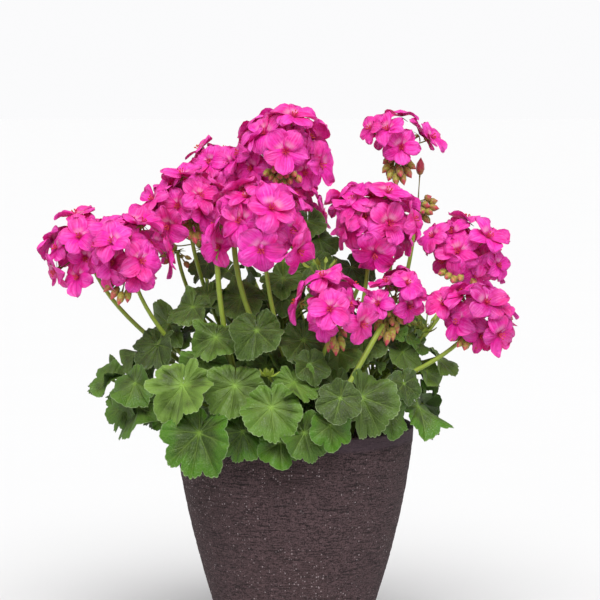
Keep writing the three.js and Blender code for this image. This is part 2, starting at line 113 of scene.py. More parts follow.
# Leaves. Radii are shares of the leaf's length, rises of it or of the radius, and angles are degrees from
# its tip. A pair is the least and the greatest that a leaf draws.
LEAF_THICKNESS = 0.8
SMALL_LEAF = 30
LOBES_EACH_SIDE = 3
LOBED_MARGIN = 140
LEAF_OPEN = 178
BACK_ROUNDING = 0.2
LOBE_DEPTHS = (0.1025, 0.27675)
TEETH = 5
TOOTH_DEPTH = 0.055
TOOTH_STEPS = 3
SMALL_TOOTH_STEPS = 2
LOBE_SHIFT = 0.11
LEAF_ROWS = 9
SMALL_LEAF_ROWS = 6
UNEVENNESS = 0.03
LEAF_ROUNDNESS = 0.83
LEAF_FUNNELS = (0.016, 0.16)
LEAF_DROOPS = (0.04, 0.144)
LEAF_FOLDS = (0.075, 0.35)
MARGIN_WAVES = (0.085, 0.255)
LOBE_BEND = 0.088
EDGE_CURL = 0.06
SIDE_PLEAT = 0.03
CHART_LOBES = 9
INNER_LOWEST = 26
INNER_REACHES = (34, 62)
INNER_PETIOLE_RADIUS = 1.1

# Umbels. A petal's widths and rises are shares of its floret's radius, and its rows of its length.
# GAP is the air between parts that don't touch.
KNOB_RADIUS = 5.5
GAP = 0.4
GOLDEN_TURN = 137.508
FULL_SPREAD = 100
FEW_FLORETS = 5
FEW_SPREAD = 78
FLORET_DEPTHS = (1, 0.8, 0.64)
FLORET_FACE_UP = 0.15
FLORET_LEAST_RADIUS = 8
FLORET_RADIUS_SHARE = 0.4
FLORET_TWIST = 50
FULL_INNER_SHARE = 0.9
FEW_INNER_SHARE = 0.5
INNER_DEPTHS = (0.55, 0.86)
INNER_SIZE = 0.88
INNER_TILT = 0.45
PETAL_TURNS = (34, 106, 180, 254, 326)
PETAL_ROWS = (0, 0.2, 0.42, 0.62, 0.8, 0.94, 1)
PETAL_COLUMNS = 5
PETAL_THICKNESS = 0.6
PETAL_LAYER = 0.5
PETAL_WIDEST = 0.62
PETAL_CLAW = 0.06
UPPER_HALF_WIDTHS = (0.42, 0.52)
LOWER_HALF_WIDTHS = (0.37, 0.48)
PETAL_RISES = (0.18, 0.72)
PETAL_ENDS = (-0.28, 0.34)
PETAL_CUPS = (-0.26, 0.3)
PETAL_RUFFLES = (0.08, 0.19)
STAMEN_REACHES = (0.22, 0.32)
STAMEN_RADIUS = 0.4
ANTHER_LENGTH = 1.6
ANTHER_RADII = (0.4, 0.75, 0.4)
PEDICEL_RADIUS = 0.75
CALYX_TUBE = 6
CALYX_RADII = (1, 1.3, 1.6, 1.9)
SEPAL_SIZE = (8, 2.8)
BRACTS = 8
BRACT_SIZE = (9, 4.2)

# Buds. A flare is how far outwards a bud stands for each part downwards.
BUD_DROP = 2.5
BUD_RADIUS = 3.1
BUD_LENGTHS = (20.7, 25.3)
BUD_FLARES = (0.56, 1.04)
YOUNG_BUD_SHARE = 1.6
YOUNG_BUD_RADII = (1.8, 2.6)
YOUNG_BUD_LENGTHS = (11, 20)
YOUNG_BUD_FLARES = (0.4, 2.4)
LOW_BUD_RADIUS = 3.9
BUD_SHARE = 0.48
BUD_SLIMNESS = 4.4
BUD_SAG = 0.05
BUD_ROWS = (0, 0.12, 0.36, 0.66, 1)
BUD_STALK_RADII = (0.8, 0.65, 0.6, 0.6, 0.75, 1.1)

# The room: how bright it lights the plant and how bright the camera sees it, the light from the window, and
# the camera. Places are in metres, angles in degrees, and the lens and the sensor in mm.
FLOOR_WIDTH = 80
ROOM_LIGHT = 0.58
ROOM_SEEN = 0.98
SUN_PLACE = (0.18, -2.85, 3.75)
SUN_STRENGTH = 3.6
SUN_WIDTH = 48
CAMERA_TARGET = (0.0058, 0, 0.371)
CAMERA_ELEVATION = 5
CAMERA_DISTANCE = 2.6
CAMERA_LENS = 148
SENSOR_WIDTH = 36

# Where each leafy stem leaves the mix, and where its tip is
STEMS = {
    "left": {"foot": (-46, -8), "tip": (-76, -20, 280)},
    "front_left": {"foot": (-34, -42), "tip": (-58, -64, 284)},
    "front": {"foot": (4, -56), "tip": (2, -78, 284)},
    "front_right": {"foot": (42, -36), "tip": (50, -52, 280)},
    "right": {"foot": (52, 8), "tip": (88, 6, 290)},
    "back": {"foot": (14, 52), "tip": (24, 84, 310)},
    "back_left": {"foot": (-36, 38), "tip": (-66, 66, 310)},
    "middle": {"foot": (0, 0), "tip": (-16, 0, 350)},
}

# Leaves of each stem: where the leaf stalk meets the blade, the blade's length to its tip, the way that it
# faces (degrees round from the front, and above level), and its turn from hanging straight down
LEAVES = {
    "left": [
        ((-141, -60, 330), 32, (-40, 45), 0),
        ((-193, -18, 292), 30, (-75, 50), 10),
        ((-163, -82, 293), 32, (-42, 38), -35),
        ((-160, -72, 268), 42, (-45, 28), -15),
        ((-165, -30, 318), 24, (-65, 45), 0),
        ((-120, -30, 338), 28, (-40, 50), 0),
    ],
    "front_left": [
        ((-80, -91, 341), 32, (-12, 42), 0),
        ((-93, -92, 317), 30, (-22, 40), 10),
        ((-112, -126, 296), 43, (-15, 35), 0),
        ((-95, -142, 250), 46, (-18, 28), -8),
    ],
    "front": [
        ((-38, -110, 350), 34, (0, 38), 0),
        ((9, -90, 338), 36, (8, 40), 5),
        ((-60, -119, 295), 38, (-3, 34), 0),
        ((0, -117, 298), 30, (6, 42), 10),
        ((-28, -84, 310), 32, (0, 44), 0),
        ((-23, -142, 276), 38, (0, 32), 0),
        ((-52, -126, 249), 33, (-10, 14), -6),
        ((-14, -141, 240), 28, (2, 12), 0),
        ((10, -140, 250), 32, (8, 20), 8),
    ],
    "front_right": [
        ((36, -146, 258), 27, (8, 22), 0),
        ((68, -118, 283), 42, (16, 28), 30),
        ((42, -100, 290), 32, (4, 38), -8),
        ((70, -62, 337), 32, (14, 40), 0),
        ((112, -50, 321), 26, (32, 42), 0),
        ((112, -86, 293), 24, (34, 26), 0),
        ((96, -98, 264), 28, (38, 22), 0),
        ((46, -76, 324), 28, (6, 44), 0),
    ],
    "right": [
        ((128, -56, 266), 42, (62, 40), 20),
        ((138, -30, 298), 25, (66, 40), 0),
        ((150, -16, 312), 28, (78, 50), 0),
        ((128, 30, 300), 38, (100, 42), 0),
        ((138, 22, 258), 40, (96, 24), 0),
        ((95, -12, 338), 30, (50, 55), 0),
        ((112, 54, 336), 34, (118, 50), 0),
    ],
    "back": [
        ((88, 108, 262), 42, (138, 28), 0),
        ((34, 138, 256), 42, (168, 26), 0),
        ((78, 92, 312), 38, (142, 42), 0),
        ((24, 116, 306), 40, (172, 42), 0),
        ((46, 66, 352), 36, (150, 55), 0),
    ],
    "back_left": [
        ((-30, 140, 258), 42, (192, 26), 0),
        ((-92, 112, 260), 42, (220, 28), 0),
        ((-136, 50, 262), 42, (252, 28), 0),
        ((-40, 112, 316), 38, (198, 42), 0),
        ((-98, 74, 314), 38, (232, 42), 0),
        ((-128, 18, 316), 34, (268, 45), 0),
        ((-60, 62, 358), 36, (215, 55), 0),
    ],
    "middle": [
        ((-105, -50, 368), 32, (-25, 52), 0),
        ((-92, -26, 376), 30, (-30, 55), 0),
        ((-55, -44, 378), 34, (-8, 52), 0),
        ((-70, -4, 402), 26, (-35, 55), 0),
        ((-92, 24, 408), 26, (-60, 50), 0),
        ((-12, -22, 396), 30, (0, 55), 0),
        ((33, -36, 376), 30, (12, 50), 0),
        ((60, 0, 406), 32, (25, 52), 0),
        ((26, 22, 434), 26, (10, 45), 0),
    ],
}

# Umbels: the stem that each grows on, its knob, the way it faces, how far its florets reach from the knob,
# and how many open florets and closed buds it has
UMBELS = {
    "left_front": ("left", (-169, -85, 420), (-22, 52), 40, 7, 3),
    "left_back": ("left", (-220, -6, 424), (-75, 50), 37, 6, 2),
    "left_low": ("back_left", (-130, 38, 424), (-60, 30), 30, 3, 1),
    "upper_left": ("back_left", (-112, -34, 468), (-35, 52), 37, 7, 3),
    "top_left": ("middle", (-79, 46, 508), (-55, 50), 29, 4, 3),
    "top": ("middle", (-11, 4, 526), (5, 76), 44, 9, 5),
    "centre": ("front", (-32, -95, 452), (2, 46), 45, 10, 2),
    "right": ("front_right", (80, -30, 452), (6, 48), 42, 9, 2),
    "low_front": ("front", (40, -112, 370), (-4, 52), 37, 6, 2),
    "low_right": ("front_right", (102, -60, 376), (55, 50), 31, 5, 6),
    "far_right": ("right", (180, 14, 414), (30, 58), 40, 7, 3),
    "far_low": ("front_right", (186, -64, 356), (38, 48), 38, 7, 3),
    "high_right": ("right", (110, 40, 530), (20, 76), 34, 5, 7),
    "bud_right": ("right", (133, 60, 476), (40, 70), 26, 0, 7),
    "back_left": ("back_left", (-104, 98, 424), (225, 48), 39, 5, 0),
    "back": ("back", (-14, 112, 456), (180, 48), 41, 6, 0),
    "back_right": ("back", (84, 106, 430), (145, 46), 39, 5, 0),
}

# Small leaves among the others: how many each stem has, and their least and greatest length
INNER_LEAVES = {
    "left": (8, 15, 25),
    "front_left": (8, 15, 25),
    "front": (10, 15, 25),
    "front_right": (10, 15, 25),
    "right": (8, 15, 25),
    "back": (12, 18, 30),
    "back_left": (10, 18, 28),
    "middle": (22, 20, 32),
}

# Shade and youth of the leaves that show best, by the place of the blade's joint. Both are partly painted
# light: a leaf in shade is given a darker shade, a lit one a paler, and youth's fresh margin stands partly
# for light shining through.
LEAF_LOOKS = {
    (-141, -60, 330): (0.05, 0),
    (-163, -82, 293): (0.4, 0.6),
    (-112, -126, 296): (1.15, 0.1),
    (-160, -72, 268): (0.35, 0.5),
    (-95, -142, 250): (0.0, 1.0),
    (-93, -92, 317): (0.6, 0.7),
    (-80, -91, 341): (0.6, 0.3),
    (-38, -110, 350): (0.12, 0.1),
    (9, -90, 338): (0.1, 0.05),
    (-60, -119, 295): (0.65, 0.15),
    (0, -117, 298): (1.1, 0.5),
    (-23, -142, 276): (0.75, 0.5),
    (36, -146, 258): (0.35, 1.0),
    (68, -118, 283): (0.3, 0.15),
    (42, -100, 290): (0.25, 0),
    (96, -98, 264): (0.2, 0.6),
    (112, -86, 293): (0, 0.2),
    (128, -56, 266): (0.5, 1.0),
    (-105, -50, 368): (0.4, 0),
    (-92, -26, 376): (0.5, 0),
    (-55, -44, 378): (0.4, 0),
    (-130, -40, 350): (0.45, 0),
    (-193, -28, 291): (0.7, 0.6),
    (46, -148, 286): (0.1, 0),
    (10, -140, 250): (0.25, 0.6),
    (-14, -141, 240): (0.15, 1.0),
    (-52, -126, 249): (0.0, 1.0),
    (-130, -72, 257): (1.0, 1.0),
    (118, -44, 338): (0.6, 0.8),
    (104, -60, 345): (0.8, 0.8),
    (130, -34, 330): (0.4, 0.6),
}

# Leaves between the others, as in LEAVES
FILLING_LEAVES = {
    "left": [
        ((-174, -56, 268), 31, (-52, 30), -10),
        ((-130, -40, 350), 33, (-30, 40), 0),
        ((-150, -46, 306), 28, (-46, 40), 0),
        ((-193, -28, 291), 26, (-26, 56), -80),
        ((-130, -72, 257), 22, (-30, 20), 0),
    ],
    "front_right": [((46, -148, 286), 29, (4, 20), -12)],
    "right": [
        ((120, 10, 350), 26, (60, 45), 0),
        ((118, -44, 338), 17, (50, 40), 0),
        ((104, -60, 345), 15, (15, 30), 25),
        ((130, -34, 330), 16, (60, 30), -15),
    ],
    "middle": [
        ((20, 0, 410), 29, (4, 45), 0),
        ((14, 30, 452), 26, (0, 40), 0),
        ((-40, 10, 372), 34, (-10, 40), 0),
    ],
}

# Florets that crowd into gaps of an umbel: the middle, the way it faces and the radius
FILLING_FLORETS = {
    "top": [
        ((-44, -10, 510), (-30, 12), 21),
        ((10, -20, 506), (14, 0), 20),
        ((-35, -8, 500), (-8, 12), 18),
    ],
    "centre": [((-76, -84, 432), (-30, 14), 22)],
    "top_left": [
        ((-68, 18, 498), (5, 20), 20),
        ((-99, 22, 500), (-25, 20), 20),
        ((-52, 22, 515), (15, 30), 19),
        ((-72, 20, 514), (-15, 35), 20),
        ((-88, 16, 489), (-10, 10), 20),
        ((-56, 10, 488), (10, 10), 19),
    ],
    "upper_left": [((-82, -42, 474), (0, 25), 20)],
    "left_front": [((-190, -62, 450), (-25, 45), 22), ((-164, -70, 456), (-5, 55), 21)],
    "left_back": [((-224, -34, 398), (-35, 5), 22), ((-221, -24, 449), (-28, 32), 20)],
    "high_right": [((82, 26, 550), (-55, 30), 19), ((144, 30, 541), (60, 30), 20)],
    "low_right": [((86, -84, 374), (-20, 25), 18)],
    "far_low": [((154, -68, 372), (-20, 35), 20)],
    "far_right": [((146, -6, 438), (-45, 35), 20), ((212, -6, 408), (50, 10), 19)],
}

# Umbels without florets between the others
SPARSE_UMBELS = {"high_right"}

# How pale an umbel's petals are, for those that differ from the usual. The values above the usual are
# partly painted light: they make heads that lie in shade paler.
USUAL_PALENESS = 0.35
PALENESS = {
    "far_low": -0.1,
    "far_right": 0.55,
    "left_back": 0.25,
    "low_front": 0.55,
    "right": 0.55,
    "top": 0.45,
}

# Tips of buds that hang lower than the others
LOW_BUDS = {
    "left_front": [
        (-186, -100, 382), (-178, -106, 377), (-169, -102, 379), (-160, -98, 388), (-194, -92, 389),
    ],
    "top": [
        (-20, -40, 497), (-12, -42, 494), (-4, -40, 497), (-15, -44, 503), (-8, -44, 504), (-26, -36, 501),
        (-32, -38, 506), (-22, -42, 510), (1, -42, 505), (7, -40, 499), (-14, -42, 511),
    ],
    "upper_left": [(-108, -56, 440), (-101, -60, 436), (-94, -58, 438), (-112, -50, 446), (-90, -52, 446)],
    "low_front": [(34, -118, 330), (42, -122, 327), (50, -118, 331), (38, -124, 334)],
    "far_right": [(157, -24, 398), (164, -28, 394), (172, -28, 396), (190, -16, 388), (150, -20, 402)],
    "far_low": [
        (160, -84, 338), (166, -88, 332), (173, -90, 329), (178, -76, 331), (186, -80, 329),
        (196, -76, 331),
    ],
    "high_right": [
        (93, 28, 505), (99, 22, 497), (107, 16, 493), (116, 18, 493), (124, 26, 500), (129, 34, 509),
        (94, 40, 514), (112, 12, 502),
    ],
    "bud_right": [
        (155, 50, 466), (148, 46, 460), (143, 50, 470), (154, 60, 474), (138, 44, 461), (147, 56, 479),
    ],
    "low_right": [
        (86, -76, 338), (94, -80, 333), (101, -76, 337), (82, -70, 347), (106, -70, 344), (90, -68, 342),
    ],
}

# Buds that stand up from a knob: the way they point, their length with the stalk, radius and ripeness
UPRIGHT_BUDS = {"bud_right": [((0.05, -0.1, 1), 46, 4.5, 1.6)]}

# Further flower stalks: the stem whose tip each grows from, where it sets off to, comes in from and ends
FILLING_STALKS = {
    "front_left": [((-70, -75, 326), (-78, -83, 378), (-79, -84, 430))],
    "front": [((-36, -70, 327), (-59, -66, 381), (-62, -66, 436))],
    "front_right": [((26, -154, 250), (54, -128, 296), (90, -76, 352))],
}

# Young shoots: the stem whose tip they grow from, their own tips, and how far some leaves stand out
SHOOTS = {
    "front": [((-27, -122, 308), 0)],
    "middle": [((22, -36, 384), 0), ((30, -46, 402), 18)],
    "right": [((128, -16, 346), 0), ((136, -34, 344), 14)],
}

UP = np.array([0.0, 0.0, 1.0])


def unit(vectors):
    """Vectors, along the last axis, brought to length 1."""
    return vectors / np.linalg.norm(vectors, axis=-1, keepdims=True)


def draw(seed):
    """A repeatable number from 0 to 1 for a number, or one for each in an array."""
    wide = np.sin(np.asarray(seed, float) * 12.9898 + 1.37) * 43758.5453
    return wide - np.floor(wide)


def between(low, high, share):
    """The value that lies a share of the way from low to high."""
    return low + (high - low) * share


def smooth(low, high, value):
    """0 below low, 1 above high, and an even S between them."""
    share = np.clip((value - low) / (high - low), 0, 1)
    return share * share * (3 - 2 * share)


def facing(turn, above):
    """The unit vector that faces so many degrees round from the front, towards +X, and above level."""
    a, e = math.radians(turn), math.radians(above)
    return np.array([math.sin(a) * math.cos(e), -math.cos(a) * math.cos(e), math.sin(e)])


def around(turn, out, up):
    """The unit vector at a turn in degrees from +X, with so much of it outwards and so much upwards."""
    t = math.radians(turn)
    return unit(np.array([out * math.cos(t), out * math.sin(t), up]))


def square_to(normal, vector):
    """The unit vector square to a unit normal that lies nearest to a vector."""
    return unit(vector - normal * (vector @ normal))


def bezier(start, leave, arrive, end, steps):
    """Points along a cubic curve that sets off towards leave and comes in from arrive."""
    t = np.linspace(0, 1, steps + 1)[:, None]
    s = 1 - t
    return s**3 * start + 3 * s**2 * t * leave + 3 * s * t**2 * arrive + t**3 * end


class Shapes:
    """Gathers closed shapes, each one grid of points, that become one mesh."""

    def __init__(self):
        self.points = []
        self.charts = []
        self.tones = []
        self.faces = []
        self.count = 0

    def add(self, grid, chart, tones):
        """Adds a grid of points with its chart, two numbers to a point, and its tones, three.

        A face looks the way of its step along a row crossed with its step from row to row.
        """
        rows, columns = grid.shape[:2]
        index = self.count + np.arange(rows * columns).reshape(rows, columns)
        corners = [index[:-1, :-1], index[:-1, 1:], index[1:, 1:], index[1:, :-1]]
        self.faces.append(np.stack(corners, -1).reshape(-1, 4))
        self.points.append(grid.reshape(-1, 3))
        self.charts.append(np.broadcast_to(chart, (rows, columns, 2)).reshape(-1, 2))
        self.tones.append(np.broadcast_to(tones, (rows, columns, 3)).reshape(-1, 3))
        self.count += rows * columns

    def piece(self, name, material):
        """The mesh in metres. Points of one shape that meet become one, which closes seams and poles."""
        points = np.concatenate(self.points)
        shape = np.repeat(np.arange(len(self.points)), [len(part) for part in self.points])
        keys = np.column_stack([shape, np.round(points / WELD)]).astype(np.int64)
        _, first, joined = np.unique(keys, axis=0, return_index=True, return_inverse=True)
        faces = np.concatenate(self.faces)
        corners = joined.ravel()[faces]
        kept = corners != np.roll(corners, 1, axis=1)
        whole = kept.sum(1) >= 3
        kept &= whole[:, None]
        sizes = kept.sum(1)[whole]
        mesh = bpy.data.meshes.new(name)
        mesh.vertices.add(len(first))
        mesh.vertices.foreach_set("co", (points[first] * METRES).astype(np.float32).ravel())
        mesh.loops.add(int(sizes.sum()))
        mesh.loops.foreach_set("vertex_index", corners[kept].astype(np.int32))
        mesh.polygons.add(len(sizes))
        mesh.polygons.foreach_set("loop_start", (np.cumsum(sizes) - sizes).astype(np.int32))
        mesh.update(calc_edges=True)
        used = faces[kept]
        charts = mesh.uv_layers.new(name="chart")
        charts.data.foreach_set("uv", np.concatenate(self.charts)[used].astype(np.float32).ravel())
        tones = mesh.color_attributes.new("tones", "FLOAT_COLOR", "CORNER")
        shades = np.column_stack([np.concatenate(self.tones)[used], np.ones(len(used))])
        tones.data.foreach_set("color", shades.astype(np.float32).ravel())
        mesh.shade_smooth()
        mesh.set_sharp_from_angle(angle=math.radians(CREASE_ANGLE))
        mesh.materials.append(material)
        made = bpy.data.objects.new(name, mesh)
        bpy.context.scene.collection.objects.link(made)
        return made


def closed_sheet(top, under):
    """A thin sheet as one grid: its top from root to edge, then its underside back to the root."""
    return np.concatenate([top, under[-2::-1]])


def add_two_sided(shapes, top, under, chart, tones):
    """Adds a thin sheet whose third tone is 1 on its underside."""
    top_tones = np.broadcast_to(tones, top.shape).copy()
    under_tones = top_tones.copy()
    under_tones[..., 2] = 1
    shapes.add(closed_sheet(top, under), closed_sheet(chart, chart), closed_sheet(top_tones, under_tones))


def tube(path, radii, sides, ribs=0.0):
    """A closed tube: rings of points round a path, and a point on the path to close each end."""
    path = np.asarray(path, float)
    ahead = unit(np.gradient(path, axis=0))
    aside = UP if abs(ahead[:, 2]).max() < 0.9 else np.array([1.0, 0.0, 0.0])
    across = unit(np.cross(ahead, aside))
    over = np.cross(ahead, across)
    turn = np.linspace(0, 2 * np.pi, sides + 1)[None, :, None]
    reach = np.broadcast_to(radii, len(path))[:, None, None] * (1 + ribs * np.cos(5 * turn))
    rings = path[:, None] + reach * (across[:, None] * np.cos(turn) + over[:, None] * np.sin(turn))
    ends = [np.repeat(path[[row]][:, None], sides + 1, axis=1) for row in (0, -1)]
    return np.concatenate([ends[0], rings, ends[1]])


def tube_chart(rows, sides):
    """A tube's chart: the share of the way round, and of the way along."""
    along = np.concatenate([[0], np.linspace(0, 1, rows), [1]])
    return np.stack(np.meshgrid(np.linspace(0, 1, sides + 1), along), -1)


def add_tube(shapes, path, radii, sides, tones, ribs=0.0):
    """Adds a tube whose tones may change from row to row."""
    tones = np.asarray(tones, float)
    if tones.ndim == 2:
        tones = np.concatenate([tones[:1], tones, tones[-1:]])[:, None]
    shapes.add(tube(path, radii, sides, ribs), tube_chart(len(path), sides), tones)


def leaf_axes(face, turn):
    """A blade's normal, the way to its tip, and the way to its side."""
    normal = facing(*face)
    down = square_to(normal, -UP)
    t = math.radians(turn)
    tip = down * math.cos(t) + np.cross(normal, down) * math.sin(t)
    return normal, tip, np.cross(normal, tip)


def leaf_margin(angle, lobe, phase, depth):
    """A blade's radius at an angle: a kidney, cut into round lobes and those into round teeth, and uneven.

    One lobe is a half turn of the cosine of lobe, and its teeth are half turns of a faster cosine.
    """
    kidney = LEAF_ROUNDNESS + (1 - LEAF_ROUNDNESS) * np.cos(angle)
    lobes = 1 - depth * (1 + 0.4 * np.sin(2 * angle + phase)) * (1 - np.sqrt(np.abs(np.cos(lobe))))
    teeth = 1 - TOOTH_DEPTH * (1 - np.sqrt(np.abs(np.cos(TEETH * lobe))))
    lobed, opening = math.radians(LOBED_MARGIN), math.radians(LEAF_OPEN)
    back = np.clip((np.abs(angle) - lobed) / (opening - lobed), 0, 1)
    uneven = 1 + UNEVENNESS * np.sin(3 * angle + 2 * phase) * np.cos(2 * angle - phase)
    return kidney * lobes * teeth * uneven * (1 - BACK_ROUNDING * back**3)


def add_blade(shapes, at, length, face, turn, tones, rows=LEAF_ROWS, steps=TOOTH_STEPS):
    """A leaf blade: a folded, drooping funnel, creased along its veins, with a waved and pleated edge.

    Its grid runs from the joint with the stalk to the margin, and round from one side of the opening behind
    the stalk to the other. It rises off its plane by a share of the radius, for the funnel, the droop
    towards the tip, the fold, a cosine of twice the angle, and the creases, absolute values of a sine
    whose corners lie along the veins. Towards the margin it rises by a share of the length too, for
    waves of three and five to the turn, the curl and the pleats. Each leaf draws most of the shares.
    """
    normal, tip, side = leaf_axes(face, turn)
    each_side = LOBES_EACH_SIDE if length >= SMALL_LEAF else LOBES_EACH_SIDE - 1
    lobe_turn = math.radians(2 * LOBED_MARGIN / (2 * each_side + 1))
    opening = math.radians(LEAF_OPEN)
    columns = steps * TEETH * round(2 * opening / lobe_turn)
    even = np.linspace(opening, -opening, columns + 1)[None, :]
    share = (np.linspace(0, 1, rows + 1) ** 0.85)[:, None]
    seed = at[0] + 7 * at[2]
    phase = 2 * np.pi * draw(seed)
    spreads = enumerate((LEAF_FUNNELS, LEAF_DROOPS, LEAF_FOLDS, MARGIN_WAVES, LOBE_DEPTHS), 1)
    funnel, droop, fold, wave, notch = (between(*spread, draw(seed + i)) for i, spread in spreads)
    angle = even + LOBE_SHIFT * np.sin(2 * even + phase) * (1 - (even / opening) ** 2)
    lobe = np.pi * even / lobe_turn
    radius = length * leaf_margin(angle, lobe, phase, notch) * share
    crease = 2 * np.abs(np.sin(lobe)) ** 0.8 - 1
    rise = funnel - droop * np.cos(angle) + fold * np.cos(2 * angle + phase)
    rise = rise + LOBE_BEND * crease * smooth(-0.15, 0.5, share) * (1 - 0.55 * share**3)
    edge = wave * (np.sin(3 * angle + 3 * phase) + 0.6 * np.sin(5 * angle + 5 * phase)) * share**2
    edge = edge - EDGE_CURL * share**5 + SIDE_PLEAT * np.abs(np.sin(3 * lobe)) * smooth(0.3, 0.9, share)
    flat = tip * (radius * np.cos(angle))[..., None] + side * (radius * np.sin(angle))[..., None]
    top = np.asarray(at, float) + flat + normal * (radius * rise + length * edge)[..., None]
    thin = LEAF_THICKNESS * (1 - share**4) * (1 - (even / opening) ** 12)
    across = np.broadcast_to(0.5 + even / (CHART_LOBES * lobe_turn), radius.shape)
    chart = np.stack([across, np.broadcast_to(share, radius.shape)], -1)
    add_two_sided(shapes, top, top - normal * thin[..., None], chart, tones)


def stem_route(name, steps=16):
    """A leafy stem's line from its foot to its tip: straight up out of the mix, then leaning over."""
    foot = np.array([*STEMS[name]["foot"], MIX_TOP + MIX_HEAP], float)
    tip = np.array(STEMS[name]["tip"], float)
    middle = (foot + tip) / 2 + UP * STEM_RADIUS
    return bezier(foot - UP * STEM_DEPTH, foot + UP * STEM_RADIUS, middle, tip, steps)


def petiole_route(start, at, face, turn, steps=9):
    """A leaf stalk rises from its stem and meets the blade from behind."""
    normal, tip, _ = leaf_axes(face, turn)
    end = np.asarray(at, float) - normal * LEAF_THICKNESS / 2
    span = np.linalg.norm(end - start)
    outward = unit((end - start) * [1, 1, 0])
    leave = start + outward * PETIOLE_BEND["out"] * span + UP * PETIOLE_BEND["up"] * span
    arrive = end - normal * PETIOLE_BEND["behind"] * span - tip * PETIOLE_BEND["above"] * span
    return bezier(start, leave, arrive, end, steps)


def peduncle_end(hub, face):
    """Where an umbel's flower stalk ends, just under its knob."""
    return np.asarray(hub, float) - facing(*face) * (KNOB_RADIUS + GAP)


def peduncle_route(start, hub, face, steps=14):
    """A flower stalk leaves its stem outwards, then rises ever more steeply to its umbel."""
    end = peduncle_end(hub, face)
    way = end - start
    level = way * [1, 1, 0]
    leave = start + level * PEDUNCLE_BEND["out"] + UP * PEDUNCLE_BEND["up"] * way[2]
    arrive = end - level * PEDUNCLE_BEND["inside"] - UP * PEDUNCLE_BEND["below"] * way[2]
    return bezier(start, leave, arrive, end, steps)


def on_stem(route, height):
    """The point of a stem's line at a height."""
    return np.array([np.interp(height, route[:, 2], route[:, axis]) for axis in range(3)])


def springing(name):
    """Where each leaf and umbel of a stem springs from, by its own place: the highest from the highest."""
    route = stem_route(name, FINE_STEPS)
    places = [leaf[0] for leaf in LEAVES[name]]
    places += [umbel[1] for umbel in UMBELS.values() if umbel[0] == name]
    places.sort(key=lambda place: place[2])
    low = MIX_TOP + MIX_HEAP + LOWEST_LEAF
    roots = {}
    for i, place in enumerate(places):
        start = on_stem(route, between(low, STEMS[name]["tip"][2], (i + 0.5) / len(places)))
        roots[place] = start + unit((np.asarray(place, float) - start) * [1, 1, 0]) * ROOT_OUT
    return roots


def leaf_tones(at):
    """A leaf's shade, from dark to pale, its youth, and 0 for its upper side.

    The palest leaves are half way up the foliage, and the lowest ones are fresh towards their margins.
    Both are partly painted light: the shade is darker for leaves in shade and paler for lit ones, and the
    fresh margins stand partly for light shining through the thin edges.
    """
    if tuple(at) in LEAF_LOOKS:
        return *LEAF_LOOKS[tuple(at)], 0
    middle = smooth(345, 315, at[2]) * smooth(255, 280, at[2])
    shade = 0.3 * middle + 0.6 * draw(3 * at[0] + at[1])
    young = 0.25 * draw(at[0] + 5 * at[1]) + 0.6 * smooth(290, 255, at[2])
    return shade, young, 0


def inner_leaves(name):
    """Small leaves by rule: round the stem by the golden angle, ever higher, facing out and up."""
    route = stem_route(name, FINE_STEPS)
    stem = STEMS[name]
    count, least, greatest = INNER_LEAVES[name]
    outward = math.degrees(math.atan2(stem["tip"][0], -stem["tip"][1]))
    for i in range(count):
        seed = stem["foot"][0] + 10 * i
        start = on_stem(route, between(MIX_TOP + INNER_LOWEST, stem["tip"][2], (i + 0.5) / count))
        turn = outward + GOLDEN_TURN * i
        way = facing(turn, between(25, 50, i / count))
        at = start + way * between(*INNER_REACHES, draw(seed))
        face = (turn, between(25, 55, draw(seed + 3)))
        yield start, at, between(least, greatest, draw(seed + 5)), face


def add_leaf(blades, stalks, start, at, length, face, turn):
    """A leaf on its stalk, and the stalk's line."""
    path = petiole_route(start, at, face, turn)
    add_tube(stalks, path, PETIOLE_RADIUS, 7, STALK_TONES["petiole"])
    add_blade(blades, at, length, face, turn, leaf_tones(at))
    return path


def add_flower_stalk(stalks, buds, start, key):
    """An umbel's flower stalk, with stipules at its foot, and bracts and closed buds at its end."""
    hub, face = UMBELS[key][1:3]
    path = peduncle_route(start, hub, face)
    radii = between(PEDUNCLE_RADIUS, PEDUNCLE_END_RADIUS, np.linspace(0, 1, len(path)))
    add_tube(stalks, path, radii, 8, STALK_TONES["peduncle"])
    add_stipules(stalks, start, path[1])
    add_bracts(stalks, path[-1], unit(path[-1] - path[-2]))
    add_hanging_buds(buds, stalks, UMBELS[key])
    for tip in LOW_BUDS.get(key, []):
        way = np.array(tip, float) - path[-1]
        add_bud(buds, stalks, path[-1], unit(way), np.linalg.norm(way), LOW_BUD_RADIUS, 0.6 * draw(tip[0]))
    for way, length, fat, ripeness in UPRIGHT_BUDS.get(key, []):
        add_bud(buds, stalks, np.array(hub, float), unit(np.array(way)), length, fat, ripeness)


